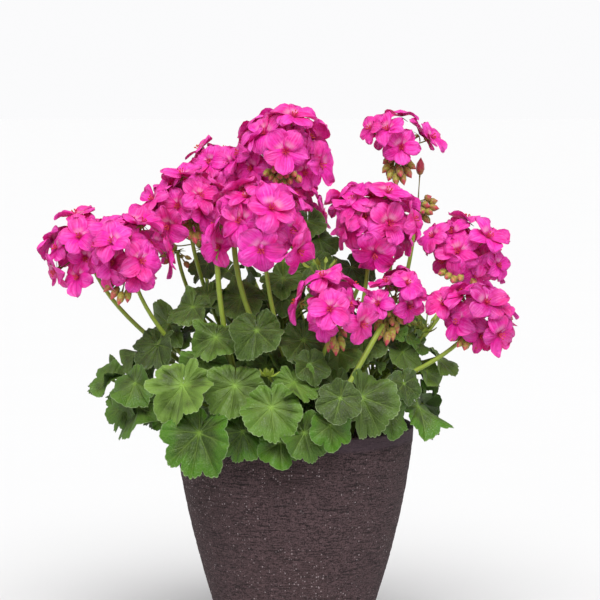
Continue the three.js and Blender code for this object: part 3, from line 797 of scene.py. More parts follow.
def leafy_stem(name):
    """The blades, the stalks and the buds of one leafy stem."""
    blades, stalks, buds = Shapes(), Shapes(), Shapes()
    route = stem_route(name)
    radii = between(STEM_RADIUS, STEM_END_RADIUS, np.linspace(0, 1, len(route)))
    add_tube(stalks, route, radii, 12, STALK_TONES["stem"])
    roots = springing(name)
    for leaf in LEAVES[name]:
        start = roots[leaf[0]]
        path = add_leaf(blades, stalks, start, *leaf)
        add_stipules(stalks, start, path[1])
    for key, umbel in UMBELS.items():
        if umbel[0] == name:
            add_flower_stalk(stalks, buds, roots[umbel[1]], key)
    for points in FILLING_STALKS.get(name, []):
        path = bezier(route[-2], *np.array(points, float), 14)
        add_tube(stalks, path, PEDUNCLE_RADIUS, 8, STALK_TONES["peduncle"])
    for leaf in FILLING_LEAVES.get(name, []):
        add_leaf(blades, stalks, route[-2], *leaf)
    for start, at, length, face in inner_leaves(name):
        path = petiole_route(start, at, face, 0, 6)
        add_tube(stalks, path, INNER_PETIOLE_RADIUS, 5, STALK_TONES["inner petiole"])
        # Painted shade: the small inner leaves are drawn darker than the rest, as shade inside the bush
        shade, young, _ = leaf_tones(at)
        add_blade(blades, at, length, face, 0, (0.6 * shade, young, 0), SMALL_LEAF_ROWS, SMALL_TOOTH_STEPS)
    for tip, reach in SHOOTS.get(name, []):
        add_shoot(stalks, route[-1], np.array(tip, float), reach)
    return blades, stalks, buds


def add_leaflet(shapes, root, along, normal, length, width, tones, bow=0.12, rows=4, columns=3):
    """A small pointed leaf: its width swells and ends as a sine of the way along, and it bows backwards."""
    share = np.linspace(0, 1, rows + 1)[:, None]
    across = np.linspace(-1, 1, columns + 1)[None, :]
    side = np.cross(along, normal)
    half = width / 2 * np.sin(np.pi * (0.12 + 0.88 * share))
    lift = length * bow * (share - 2 * share**2) - 0.15 * width * across**2
    top = root + along * (length * share + 0 * across)[..., None]
    top = top + side * (half * across)[..., None] + normal * lift[..., None]
    thin = 0.4 * (1 - across**2) * (1 - share**2) * np.minimum(1, 6 * share)
    under = top - normal * thin[..., None]
    chart = np.stack(np.broadcast_arrays(across / 2 + 0.5, share), -1)
    shapes.add(closed_sheet(top, under), closed_sheet(chart, chart), tones)


def add_stipules(shapes, root, ahead):
    """Two small pointed leaves at the foot of a stalk."""
    way = unit(ahead - root)
    side = unit(np.cross(way, UP))
    for sign in (-1, 1):
        along = unit(way + sign * 0.7 * side + 0.3 * UP)
        add_leaflet(shapes, root, along, square_to(along, UP), *STIPULE_SIZE, STALK_TONES["stipule"])


def add_shoot(shapes, start, tip, reach):
    """A young shoot: a fine stalk with folded yellow-green leaves round its tip.

    Where it has a reach, every other leaf stands out that far on a fine stalk of its own.
    """
    way = tip - start
    path = bezier(start, start + way * [0.5, 0.5, 0.1], tip - UP * 8, tip, 6)
    add_tube(shapes, path, SHOOT_RADIUS, 6, STALK_TONES["shoot"])
    for i in range(SHOOT_LEAVES):
        share = i / (SHOOT_LEAVES - 1)
        along = around(GOLDEN_TURN * i, 1, between(0.2, 1.6, share))
        length = between(*SHOOT_LEAF_LENGTHS, share)
        root = tip - UP * 3
        if reach and i % 2:
            far = root + along * reach * between(0.6, 1.3, draw(tip[0] + i)) + UP * 4
            path = bezier(root, root + along * 6, far - UP * 6, far, 5)
            add_tube(shapes, path, SHOOT_STALK_RADIUS, 5, STALK_TONES["shoot stalk"])
            root = far - UP * 0.5
        normal = square_to(along, UP)
        add_leaflet(shapes, root, along, normal, length, length * 0.62, STALK_TONES["shoot leaf"], -0.2)


def add_bracts(shapes, end, way):
    """A ring of bracts under an umbel's knob."""
    aside = square_to(way, np.array([0.3, 1.0, 0.2]))
    other = np.cross(way, aside)
    for i in range(BRACTS):
        turn = math.radians(GOLDEN_TURN * i)
        out = aside * math.cos(turn) + other * math.sin(turn)
        rise = between(-0.1, 0.5, i / (BRACTS - 1))
        along, normal = unit(out + rise * way), unit(way - rise * out)
        add_leaflet(shapes, end - way * 1.5, along, normal, *BRACT_SIZE, STALK_TONES["bract"])


def add_bud(buds, stalks, root, direction, length, fat, ripeness=None):
    """A closed bud: a pointed spindle with five ribs on a fine stalk, which sags a little with it.

    The spindle's radius is a power of a sine of the way along, fullest just before its middle.
    """
    bud_length = min(length * BUD_SHARE, fat * BUD_SLIMNESS)
    sag = UP * BUD_SAG * length
    neck = root + direction * (length - bud_length) - sag
    leave = root + direction * length * 0.2 + UP * 1.5
    route = bezier(root, leave, neck - direction * 3 + sag / 2, neck, 5)
    add_tube(stalks, route, BUD_STALK_RADII, 5, STALK_TONES["bud stalk"])
    share = np.array(BUD_ROWS)
    profile = np.sin(np.pi * share**0.8) ** 0.75 * fat + 0.25
    path = neck + np.outer(share * bud_length, direction)
    ripeness = draw(length) if ripeness is None else ripeness
    tones = np.column_stack([share, np.full(len(share), ripeness), np.zeros(len(share))])
    add_tube(buds, path, profile, 10, tones, ribs=0.07)


def add_hanging_buds(buds, stalks, umbel):
    """Closed buds hang from just below the knob, with younger, smaller ones among them.

    Where no floret is open yet, the younger ones stand out at all heights.
    """
    _, hub, face, _, florets, count = umbel
    root = peduncle_end(hub, face) - UP * BUD_DROP
    for i in range(count):
        direction = around(GOLDEN_TURN * i, between(*BUD_FLARES, draw(i + hub[1])), -1)
        add_bud(buds, stalks, root, direction, between(*BUD_LENGTHS, draw(3 * i + hub[2])), BUD_RADIUS)
    for i in range(round(YOUNG_BUD_SHARE * count) + 1):
        rise = -0.8 if florets else between(-0.9, 0.1, draw(i + hub[2]))
        direction = around(GOLDEN_TURN * i + 70, between(*YOUNG_BUD_FLARES, draw(2 * i + hub[0])), rise)
        length = between(*YOUNG_BUD_LENGTHS, draw(5 * i + hub[1]))
        add_bud(buds, stalks, root, direction, length, between(*YOUNG_BUD_RADII, draw(i + hub[2])))


def cap_directions(face, count, spread, phase, first=0.5):
    """Directions spread evenly over a cap round an axis, by the golden angle."""
    axis = facing(*face)
    across = np.array([math.cos(math.radians(face[0])), math.sin(math.radians(face[0])), 0])
    over = np.cross(axis, across)
    i = np.arange(count)[:, None]
    cosine = 1 - (i + first) / count * (1 - math.cos(math.radians(spread)))
    sine = np.sqrt(1 - cosine**2)
    turn = np.radians(GOLDEN_TURN * i + phase)
    return axis * cosine + across * sine * np.cos(turn) + over * sine * np.sin(turn)


def crossing(a, b):
    """How much of the line where two florets' planes meet lies inside both of their rims."""
    line = np.cross(a["out"], b["out"])
    square = line @ line
    if square < 1e-4:
        return 0
    shared = np.cross(b["out"], line) * (a["out"] @ a["centre"])
    shared = (shared + np.cross(line, a["out"]) * (b["out"] @ b["centre"])) / square
    line = unit(line)
    ends = []
    for disc in (a, b):
        off = disc["centre"] - shared
        along = off @ line
        half = math.sqrt(max(0, disc["radius"] ** 2 - off @ off + along**2))
        ends.append((along - half, along + half, half))
    if not ends[0][2] or not ends[1][2]:
        return 0
    return max(0, min(ends[0][1], ends[1][1]) - max(ends[0][0], ends[1][0]))


def head_sizes(umbel):
    """An umbel's knob, the spread of its florets in degrees, their radius and the turn of the first one."""
    _, hub, _, reach, count, _ = umbel
    spread = FULL_SPREAD if count > FEW_FLORETS else FEW_SPREAD
    radius = FLORET_LEAST_RADIUS + FLORET_RADIUS_SHARE * reach
    return np.asarray(hub, float), spread, radius, 360 * draw(hub[0] + hub[2])


def floret_places(umbel):
    """Places for an umbel's florets: each takes the depth at which it crosses the earlier ones least."""
    _, hub, face, reach, count, _ = umbel
    knob, spread, radius, phase = head_sizes(umbel)
    placed = []
    for i, direction in enumerate(cap_directions(face, count, spread, phase)):
        out = unit(direction + UP * FLORET_FACE_UP)
        twist = FLORET_TWIST * (draw(i + hub[0]) - 0.5)
        best = None
        for depth in FLORET_DEPTHS:
            centre = knob + direction * depth * reach
            choice = {"centre": centre, "out": out, "radius": radius, "twist": twist}
            choice["clash"] = sum(crossing(choice, other) for other in placed)
            if best is None or choice["clash"] < best["clash"] - 1e-6:
                best = choice
        placed.append(best)
    return placed


def inner_florets(umbel):
    """Further florets under and between the outer ones, so that a head is full."""
    _, hub, face, reach, count, _ = umbel
    knob, spread, radius, phase = head_sizes(umbel)
    extra = round(count * (FULL_INNER_SHARE if count > FEW_FLORETS else FEW_INNER_SHARE))
    for i, direction in enumerate(cap_directions(face, extra, spread, phase + 68, 0.3)):
        depth = between(*INNER_DEPTHS, draw(i + hub[1]))
        tilt = draw(i + hub[0] + np.array([1, 2, 3])) - 0.5
        out = unit(direction + UP * FLORET_FACE_UP + 2 * INNER_TILT * tilt)
        twist = FLORET_TWIST * (draw(i + 2 * hub[0]) - 0.5)
        centre = knob + direction * depth * reach
        yield {"centre": centre, "out": out, "radius": INNER_SIZE * radius, "twist": twist}


def add_petal(shapes, centre, along, out, radius, half_width, seed, tones):
    """A petal: a narrow claw that widens as a sine and ends in an ellipse, a little skewed.

    It rises from the floret's middle, arches back, and is cupped or bent back across, with a ruffled end.
    """
    share = np.array(PETAL_ROWS)[:, None]
    across = np.linspace(-1, 1, PETAL_COLUMNS + 1)[None, :]
    side = np.cross(along, out)
    growth = np.sin(np.pi / 2 * np.minimum(1, share / PETAL_WIDEST) ** 0.85)
    ending = np.sqrt(1 - (np.maximum(0, share - PETAL_WIDEST) / (1 - PETAL_WIDEST)) ** 2)
    half = (PETAL_CLAW + (half_width - PETAL_CLAW) * growth) * ending
    half = half * (1 + 0.1 * (draw(seed + 5) - 0.5) * across)
    skew = 0.16 * (draw(seed + 6) - 0.5) * share**2
    rise = between(*PETAL_RISES, draw(seed + 2))
    droop = rise - between(*PETAL_ENDS, draw(seed + 3))
    cup = between(*PETAL_CUPS, draw(seed + 1)) * across**2 * share * ending
    ruffle = between(*PETAL_RUFFLES, draw(seed + 7)) * np.sin(5 * across + 2 * np.pi * draw(seed + 4))
    lift = rise * share**0.8 - droop * share**2 + cup + ruffle * share**2 * (0.4 + 0.6 * ending)
    top = centre + along * (radius * share * (1 - 0.04 * across**2))[..., None]
    top = top + side * (radius * (half * across + skew))[..., None] + out * (radius * lift)[..., None]
    thin = PETAL_THICKNESS * (1 - across**2) * (1 - share**4) * np.minimum(1, 5 * share)
    chart = np.stack(np.broadcast_arrays(across / 2 + 0.5, share), -1)
    add_two_sided(shapes, top, top - out * thin[..., None], chart, tones)


def add_stamens(shapes, place, up, right, seed):
    """Five stamens that lean apart: a thread, and an anther on its tip."""
    centre, out, radius = place["centre"], place["out"], place["radius"]
    for i in range(5):
        turn = math.radians(72 * i + 40 * draw(seed))
        way = unit(out + 0.4 * (up * math.cos(turn) + right * math.sin(turn)) - 0.1 * up)
        tip = centre + way * radius * between(*STAMEN_REACHES, draw(seed + i))
        add_tube(shapes, np.linspace(centre, tip, 2), STAMEN_RADIUS, 3, (0.1, 0, 0))
        add_tube(shapes, np.linspace(tip, tip + way * ANTHER_LENGTH, 3), ANTHER_RADII, 4, (1, 0, 0))


def add_pedicel(shapes, knob, place, up, right):
    """A floret's fine stalk from the umbel's knob, its calyx tube and five sepals."""
    out = place["out"]
    back = place["centre"] - out
    neck = back - out * CALYX_TUBE
    route = bezier(knob, knob + (neck - knob) * 0.4 + UP, neck - out * 6, neck, 5)
    add_tube(shapes, route, PEDICEL_RADIUS, 5, STALK_TONES["pedicel"])
    add_tube(shapes, np.linspace(neck, back, 4), CALYX_RADII, 6, STALK_TONES["calyx tube"])
    for i in range(5):
        turn = math.radians(72 * i + place["twist"])
        flat = up * math.cos(turn) - right * math.sin(turn)
        along, normal = unit(flat - 0.35 * out), unit(out + 0.35 * flat)
        add_leaflet(shapes, back + flat, along, normal, *SEPAL_SIZE, STALK_TONES["sepal"], 0.1, 3, 2)


def add_floret(petals, stamens, stalks, knob, place, paleness):
    """A floret: five petals, its stamens, and its stalk with a small calyx."""
    centre, out, radius = place["centre"], place["out"], place["radius"]
    up = square_to(out, UP)
    right = np.cross(up, out)
    seed = centre @ [1.3, 2.1, 3.7]
    for petal, petal_turn in enumerate(PETAL_TURNS):
        turn = math.radians(petal_turn + place["twist"] + 12 * (draw(seed + petal) - 0.5))
        flat = up * math.cos(turn) - right * math.sin(turn)
        upper = petal in (0, 4)
        width = between(*(UPPER_HALF_WIDTHS if upper else LOWER_HALF_WIDTHS), draw(seed + 3 * petal))
        layer = out * PETAL_LAYER * (petal % 2)
        # The umbel's paleness in this tone is partly painted light: heads that lie in shade are drawn paler
        tone = np.clip(paleness + 0.4 * draw(seed) + 0.25 * draw(seed + 13 * petal), 0, 1)
        tones = (tone, float(upper), 0)
        size = radius * between(0.95, 1.06, draw(seed + 7 * petal))
        add_petal(petals, centre + layer, flat, out, size, width, seed + 11 * petal, tones)
    add_stamens(stamens, place, up, right, seed)
    add_pedicel(stalks, knob, place, up, right)


def umbel_shapes(key):
    """The petals, the stamens and the stalks of one umbel."""
    petals, stamens, stalks = Shapes(), Shapes(), Shapes()
    umbel = UMBELS[key]
    hub = np.asarray(umbel[1], float)
    places = floret_places(umbel)
    if key not in SPARSE_UMBELS:
        places.extend(inner_florets(umbel))
    for centre, face, radius in FILLING_FLORETS.get(key, []):
        place = {"centre": np.array(centre, float), "out": facing(*face), "radius": radius}
        places.append({**place, "twist": 30 * draw(centre[0])})
    for place in places:
        add_floret(petals, stamens, stalks, hub, place, PALENESS.get(key, USUAL_PALENESS))
    share = np.linspace(-1, 1, 8)
    path = hub + np.outer(share * KNOB_RADIUS, facing(*umbel[2]))
    radii = np.sqrt(1 - share**2) * KNOB_RADIUS * 0.8 + 0.1
    add_tube(stalks, path, radii, 10, STALK_TONES["knob"])
    return petals, stamens, stalks


def lattice_noise(turn, height, round_cells, up_cells, seed):
    """Smooth noise from -1 to 1, blended on a lattice of random values that closes after one turn."""
    values = np.random.default_rng(seed).uniform(-1, 1, (up_cells + 2, round_cells))
    x = (turn % 1) * round_cells
    y = np.clip(height, 0, 1) * up_cells
    column, row = np.floor(x).astype(int), np.floor(y).astype(int)
    u, v = smooth(0, 1, x - column), smooth(0, 1, y - row)
    left, right = column % round_cells, (column + 1) % round_cells
    low = between(values[row, left], values[row, right], u)
    high = between(values[row + 1, left], values[row + 1, right], u)
    return between(low, high, v)


def turned(profile, columns):
    """A profile of (radius, height) turned about the Z axis, as one grid that faces away from its left."""
    profile = np.asarray(profile, float)
    turn = np.linspace(0, 2 * np.pi, columns + 1)[None, :]
    radius, height = profile[:, :1], profile[:, 1:] + 0 * turn
    return np.stack([radius * np.cos(turn), radius * np.sin(turn), height], -1)


def pot_radius(height):
    """The planter's outer radius: it falls from the rim as a power of the depth below it."""
    depth = (POT_HEIGHT - height) / POT_HEIGHT
    return POT_RIM_RADIUS - (POT_RIM_RADIUS - POT_BASE_RADIUS) * depth**POT_TAPER


def arc(centre, radius, start, end, steps):
    """Points (radius, height) along an arc between two angles in degrees."""
    turn = np.radians(np.linspace(start, end, steps + 1))
    return np.stack([centre[0] + radius * np.cos(turn), centre[1] + radius * np.sin(turn)], -1)


def planter():
    """The pot: a turned profile whose wall bears faint swells, streaks and grain as relief.

    The streaks and the grain are fainter in the band at the rim, and all relief ends at the wall's edges.
    """
    shapes = Shapes()
    wall_height = np.linspace(POT_EDGE, POT_HEIGHT - POT_EDGE, POT_ROWS)
    wall = np.stack([pot_radius(wall_height), wall_height], -1)
    rim = arc((POT_RIM_RADIUS - POT_EDGE, POT_HEIGHT - POT_EDGE), POT_EDGE, 0, 90, 5)[1:]
    inner_edge = arc((POT_RIM_RADIUS - POT_WALL + POT_EDGE, POT_HEIGHT - POT_EDGE), POT_EDGE, 90, 180, 5)
    inside = [(pot_radius(height) - POT_WALL, height) for height in (*POT_INSIDE_HEIGHTS, POT_FLOOR)]
    base = arc((POT_BASE_RADIUS - POT_EDGE, POT_EDGE), POT_EDGE, -90, -20, 4)
    profile = np.concatenate([[(0, 0), (40, 0)], base, wall, rim, inner_edge, inside, [(0, POT_FLOOR)]])
    grid = turned(profile, POT_COLUMNS)
    first = 2 + len(base)
    rows = slice(first, first + POT_ROWS)
    round_share = np.linspace(0, 1, POT_COLUMNS + 1)
    turn, height = np.meshgrid(round_share, wall_height / POT_HEIGHT)
    streaks = np.minimum(lattice_noise(turn, height, *POT_STREAK_CELLS, 1), 0.4)
    grain = lattice_noise(turn, height, *POT_GRAIN_CELLS, 2)
    swell = lattice_noise(turn, height, *POT_SWELL_CELLS, 3)
    rough = 1 - 0.75 * smooth(*POT_BAND_HEIGHTS, wall_height)[:, None]
    depth = rough * (POT_STREAK_DEPTH * streaks + POT_GRAIN_DEPTH * grain)
    depth = depth + POT_SWELL_DEPTH * swell - POT_RELIEF_INSET
    outward = unit(grid[rows] * [1, 1, 0])
    grid[rows] += outward * (depth * smooth(0, 0.02, height) * smooth(1, 0.99, height))[..., None]
    chart = np.stack(np.meshgrid(round_share, profile[:, 1] / POT_HEIGHT), -1)
    shapes.add(grid, chart, (0, 0, 0))
    return shapes


def add_chip(shapes, centre, size, seed, tones):
    """A crumb of bark: a small ball, squashed and turned at random."""
    random = np.random.default_rng(seed)
    share, turn = np.linspace(0, np.pi, 5)[:, None], np.linspace(0, 2 * np.pi, 7)[None, :]
    ball = [np.sin(share) * np.cos(turn), np.sin(share) * np.sin(turn), -np.cos(share) + 0 * turn]
    axes, _ = np.linalg.qr(random.normal(size=(3, 3)))
    axes *= np.linalg.det(axes)
    scale = size * random.uniform((0.7, 0.45, 0.25), (1.3, 0.8, 0.5))
    shapes.add(centre + (np.stack(ball, -1) * scale) @ axes.T, (0.5, 0.5), tones)


def potting_mix():
    """The mix: a lumpy, slightly heaped top that is strewn with crumbs of bark, on a plain body."""
    shapes = Shapes()
    inset = POT_WALL + 2 * GAP
    edge = pot_radius(MIX_TOP) - inset
    side = [(pot_radius(height) - inset, height) for height in (POT_FLOOR + GAP, *MIX_SIDE_HEIGHTS)]
    radii = np.linspace(edge, 0, 40)
    top = np.stack([radii, MIX_TOP - 1 + MIX_HEAP * (1 - (radii / edge) ** 2)], -1)
    grid = turned(np.concatenate([[(0, POT_FLOOR + GAP)], side, top]), 120)
    bumps = lattice_noise(grid[5:, :, 0] / 2e3 + 0.5, grid[5:, :, 1] / 240 + 0.5, 130, 30, 5)
    grid[5:, :, 2] += MIX_BUMPS * bumps * smooth(edge, edge - 6, radii)[:, None]
    shapes.add(grid, (0.5, 0.5), (0.3, 0, 0))
    random = np.random.default_rng(8)
    for i in range(MIX_CHIPS):
        radius, turn = (edge - 5) * math.sqrt(random.uniform()), random.uniform(0, 2 * np.pi)
        height = MIX_TOP - 0.6 + MIX_HEAP * (1 - (radius / edge) ** 2)
        centre = np.array([radius * math.cos(turn), radius * math.sin(turn), height])
        add_chip(shapes, centre, random.uniform(*MIX_CHIP_SIZES), i, (random.uniform(), 0, 0))
    return shapes


# Sizes of the patterns in mm. Parts finer than about 2 mm are lost in the render, so the real net of leaf
# veins (1 mm), the petal's veins (1 mm), pollen (under 0.1 mm) and sand in the stone (0.5 mm) are drawn
# coarser.
LEAF_PATCH = 9
LEAF_NET_CELL = 2.6
LEAF_ZONE_PATCH = 26
STALK_PATCH = 4.2
BUD_PATCH = 2.4
POLLEN_GRAIN = 1.1
PETAL_SIZE = (22, 24)
PETAL_VEIN = (1.7, 17)
PETAL_PATCH = 9
PETAL_FLUSH = 38
PETAL_CRUMPLE = 6.7
STONE_STREAK = (5, 1.1)
STONE_SCRATCH = (23, 1.3)
STONE_SAND = 1.4
STONE_CLOUD = 62
STONE_GRAIN = 2.3
BARK_CRUMB = 3
CARD_PATCH = 330

# Settings that many nodes share
COLOURS = {"data_type": "RGBA"}
SOFT_STEP = {"interpolation_type": "SMOOTHSTEP"}
TIMES = {"operation": "MULTIPLY"}
TIMES_PLUS = {"operation": "MULTIPLY_ADD"}


def per(size):
    """The scale at which a pattern's parts are so many millimetres wide."""
    return 1 / (size * METRES)


def linear(colour):
    """An sRGB hex colour as linear red, green, blue and alpha."""
    channels = [(colour >> shift & 255) / 255 for shift in (16, 8, 0)]
    return (*[c / 12.92 if c <= 0.04045 else ((c + 0.055) / 1.055) ** 2.4 for c in channels], 1)


def add_node(tree, kind, values=(), output=None, **settings):
    """Adds a shader node with its settings, and gives back the output named or else the first in use.

    Values are numbers, colours or outputs to link. They go to the inputs named, or to those in use in turn.
    """
    node = tree.nodes.new("ShaderNode" + kind)
    for name, setting in settings.items():
        setattr(node, name, setting)
    sockets = [socket for socket in node.inputs if socket.enabled]
    if isinstance(values, dict):
        sockets = [node.inputs[name] for name in values]
        values = values.values()
    for socket, value in zip(sockets, values):
        if isinstance(value, bpy.types.NodeSocket):
            tree.links.new(value, socket)
        else:
            socket.default_value = value
    if output:
        return node.outputs[output]
    return next((socket for socket in node.outputs if socket.enabled), None)


def new_material(name):
    """An empty node material and its tree."""
    made = bpy.data.materials.new(name)
    made.use_nodes = True
    made.node_tree.nodes.clear()
    return made, made.node_tree


def read_marks(tree):
    """The piece's chart as two values, and its tones as three."""
    chart = add_node(tree, "UVMap", uv_map="chart")
    across, along, _ = add_node(tree, "SeparateXYZ", [chart]).node.outputs
    tones = add_node(tree, "Attribute", attribute_name="tones")
    return across, along, *add_node(tree, "SeparateColor", [tones]).node.outputs


def thin_sheet(tree, colour, glow, bump, share_through, finish):
    """A thin living sheet: a soft surface, and part of the light coming through it in a deeper colour."""
    surface = add_node(tree, "BsdfPrincipled", {"Base Color": colour, "Normal": bump, **finish})
    through = add_node(tree, "BsdfTranslucent", [glow, bump])
    both = add_node(tree, "MixShader", [share_through, surface, through])
    add_node(tree, "OutputMaterial", [both])


def leaf_blade_material():
    """Downy living leaf: dull mid green, with a darker zone, soft pale veins and a fine pale edge.

    Young leaves are a fresher green towards their margins, partly their own colour and partly painted light
    shining through the thin edges. A net of small cells quilts the surface between the veins, and wax and
    down give it a broken, soft gloss.
    """
    made, tree = new_material("zonal leaf blade")
    across, along, shade, young, under = read_marks(tree)
    place = add_node(tree, "TexCoord", output="Object")
    mottle = add_node(tree, "TexNoise", {"Vector": place, "Scale": per(LEAF_PATCH), "Detail": 4.0})
    cloud = add_node(tree, "TexNoise", {"Vector": place, "Scale": per(LEAF_ZONE_PATCH), "Detail": 1.0})
    cells = {"Vector": place, "Scale": per(LEAF_NET_CELL)}
    net = add_node(tree, "TexVoronoi", cells, feature="DISTANCE_TO_EDGE")
    net = add_node(tree, "MapRange", [net, 0.0, 0.22], **SOFT_STEP)

    # A main vein runs up the middle of each lobe, and two forks leave it where off is 0.48 (along - 0.3).
    lobe = add_node(tree, "Math", [across, CHART_LOBES, 0.5 + CHART_LOBES / 2], **TIMES_PLUS)
    lobe = add_node(tree, "Math", [lobe], operation="FRACT")
    off = add_node(tree, "Math", [lobe, 0.5], operation="SUBTRACT")
    off = add_node(tree, "Math", [off], operation="ABSOLUTE")
    main = add_node(tree, "Math", [off, along], **TIMES)
    main = add_node(tree, "MapRange", [main, 0.006, 0.04, 1.0, 0.0], **SOFT_STEP)
    forks = add_node(tree, "Math", [along, -0.48, 0.48 * 0.3], **TIMES_PLUS)
    forks = add_node(tree, "Math", [off, forks], operation="ADD")
    forks = add_node(tree, "Math", [forks], operation="ABSOLUTE")
    forks = add_node(tree, "Math", [forks, along], **TIMES)
    forks = add_node(tree, "MapRange", [forks, 0.004, 0.03, 0.6, 0.0], **SOFT_STEP)
    beyond = add_node(tree, "MapRange", [along, 0.3, 0.42], **SOFT_STEP)
    forks = add_node(tree, "Math", [forks, beyond], **TIMES)
    veins = add_node(tree, "Math", [main, forks], operation="MAXIMUM")
    fading = add_node(tree, "MapRange", [along, 0.35, 1.0, 1.0, 0.25], **SOFT_STEP)
    veins = add_node(tree, "Math", [veins, fading], **TIMES)

    # The zone is a ring half way out, strong in some places and faint in others.
    zone = add_node(tree, "MapRange", [along, 0.16, 0.4], **SOFT_STEP)
    outer = add_node(tree, "MapRange", [along, 0.62, 0.92, 1.0, 0.0], **SOFT_STEP)
    zone = add_node(tree, "Math", [zone, outer], **TIMES)
    patches = add_node(tree, "MapRange", [cloud, 0.3, 0.7, 0.95, 0.2], **SOFT_STEP)
    zone = add_node(tree, "Math", [zone, patches], **TIMES)
    # The fresher margin is partly painted light, as of light shining through the thin edge
    fresh = add_node(tree, "Math", [cloud, 0.5, along], **TIMES_PLUS)
    fresh = add_node(tree, "MapRange", [fresh, 0.7, 1.15, 0.15, 0.95], **SOFT_STEP)
    fresh = add_node(tree, "Math", [fresh, young], **TIMES)

    # The shade tone is partly painted light: darker for leaves that lie in shade, paler for lit ones
    green = add_node(tree, "Mix", [shade, linear(0x2A3813), linear(0x7E9F42)], **COLOURS)
    for cover, colour in (
        (zone, 0x333E16),
        (fresh, 0x447804),
        (add_node(tree, "MapRange", [mottle, 0.35, 0.7, 0.0, 0.25], **SOFT_STEP), 0x66882F),
        (add_node(tree, "MapRange", [net, 0.0, 1.0, 0.16, 0.0], **SOFT_STEP), 0x7E9C3C),
        (add_node(tree, "Math", [veins, 0.3], **TIMES), 0x93B052),
        (add_node(tree, "MapRange", [along, 0.0, 0.18, 0.5, 0.0], **SOFT_STEP), 0x8DB83A),
        (add_node(tree, "MapRange", [along, 0.965, 0.995, 0.0, 0.36], **SOFT_STEP), 0xB9CC98),
        (add_node(tree, "Math", [under, 0.6], **TIMES), 0x7C9660),
    ):
        green = add_node(tree, "Mix", [cover, green, linear(colour)], **COLOURS)
    sunk = add_node(tree, "Math", [veins, -1.6], **TIMES)
    height = add_node(tree, "Math", [net, 0.7, sunk], **TIMES_PLUS)
    bump = add_node(tree, "Bump", {"Height": height, "Strength": 0.5, "Distance": 1.1 * METRES})
    glow = add_node(tree, "Mix", [0.5, green, linear(0x6EA80E)], **COLOURS)
    finish = {"Roughness": 0.42, "IOR": 1.47, "Sheen Weight": 0.05, "Sheen Roughness": 0.4}
    thin_sheet(tree, green, glow, bump, 0.25, finish)
    return made


def stalk_material():
    """Living green stalk: fresh, with fine ribs along it and a downy sheen, and red by its third tone."""
    made, tree = new_material("green stalk")
    _, _, shade, young, flush = read_marks(tree)
    place = add_node(tree, "TexCoord", output="Object")
    mottle = add_node(tree, "TexNoise", {"Vector": place, "Scale": per(STALK_PATCH), "Detail": 3.0})
    blotches = add_node(tree, "MapRange", [mottle, 0.25, 0.6, 0.4, 1.0], **SOFT_STEP)
    green = add_node(tree, "Mix", [shade, linear(0x4C6222), linear(0x879C34)], **COLOURS)
    for cover, colour in (
        (add_node(tree, "Math", [young, 0.5], **TIMES), 0x97A834),
        (add_node(tree, "MapRange", [mottle, 0.4, 0.75, 0.0, 0.3], **SOFT_STEP), 0x6E8436),
        (add_node(tree, "Math", [flush, blotches], **TIMES), 0x9A4A38),
    ):
        green = add_node(tree, "Mix", [cover, green, linear(colour)], **COLOURS)

    # Nine or ten ribs run along the stalk, by the chart, whose width is one turn round it.
    chart = add_node(tree, "UVMap", uv_map="chart")
    ribs = add_node(tree, "TexWave", {"Vector": chart, "Scale": 3.0}, output="Fac", bands_direction="X")
    height = add_node(tree, "Math", [ribs, 0.5, mottle], **TIMES_PLUS)
    bump = add_node(tree, "Bump", {"Height": height, "Strength": 0.4, "Distance": 0.4 * METRES})
    surface = add_node(tree, "BsdfPrincipled", {
        "Base Color": green, "Normal": bump, "Roughness": 0.45, "IOR": 1.44,
        "Sheen Weight": 0.08, "Sheen Roughness": 0.4,
    })
    add_node(tree, "OutputMaterial", [surface])
    return made


def bud_material():
    """Closed bud: downy yellow-green sepals, flushed brown in patches, round a rosy tip."""
    made, tree = new_material("closed bud")
    _, _, way, ripe, _ = read_marks(tree)
    place = add_node(tree, "TexCoord", output="Object")
    mottle = add_node(tree, "TexNoise", {"Vector": place, "Scale": per(BUD_PATCH), "Detail": 3.0})

    # The rosy tip reaches down further on a ripe bud, and its edge is uneven.
    uneven = add_node(tree, "Math", [mottle, 0.8, -0.4], **TIMES_PLUS)
    tip = add_node(tree, "Math", [ripe, 0.32, uneven], **TIMES_PLUS)
    tip = add_node(tree, "Math", [tip, way], operation="ADD")
    colour = add_node(tree, "Mix", [ripe, linear(0xA2A63C), linear(0xA07A42)], **COLOURS)
    brown = add_node(tree, "MapRange", [mottle, 0.45, 0.6, 0.0, 0.65], **SOFT_STEP)
    colour = add_node(tree, "Mix", [brown, colour, linear(0x8C4030)], **COLOURS)
    rose = add_node(tree, "MapRange", [tip, 0.62, 1.05, 0.0, 0.85], **SOFT_STEP)
    colour = add_node(tree, "Mix", [rose, colour, linear(0xC02A54)], **COLOURS)
    bump = add_node(tree, "Bump", {"Height": mottle, "Strength": 0.4, "Distance": 0.3 * METRES})
    surface = add_node(tree, "BsdfPrincipled", {
        "Base Color": colour, "Normal": bump, "Roughness": 0.5, "IOR": 1.45, "Sheen Weight": 0.2,
    })
    add_node(tree, "OutputMaterial", [surface])
    return made


def stamen_material():
    """Stamens: rosy threads with dry, grainy, orange-red anthers."""
    made, tree = new_material("stamen")
    _, _, tip, _, _ = read_marks(tree)
    place = add_node(tree, "TexCoord", output="Object")
    grain = add_node(tree, "TexNoise", {"Vector": place, "Scale": per(POLLEN_GRAIN)})
    colour = add_node(tree, "Mix", [tip, linear(0xE0406E), linear(0xC8461E)], **COLOURS)
    dark = add_node(tree, "MapRange", [grain, 0.4, 0.7, 0.0, 0.4], **SOFT_STEP)
    colour = add_node(tree, "Mix", [dark, colour, linear(0x8E2416)], **COLOURS)
    surface = add_node(tree, "BsdfPrincipled", {"Base Color": colour, "Roughness": 0.6, "IOR": 1.45})
    add_node(tree, "OutputMaterial", [surface])
    return made


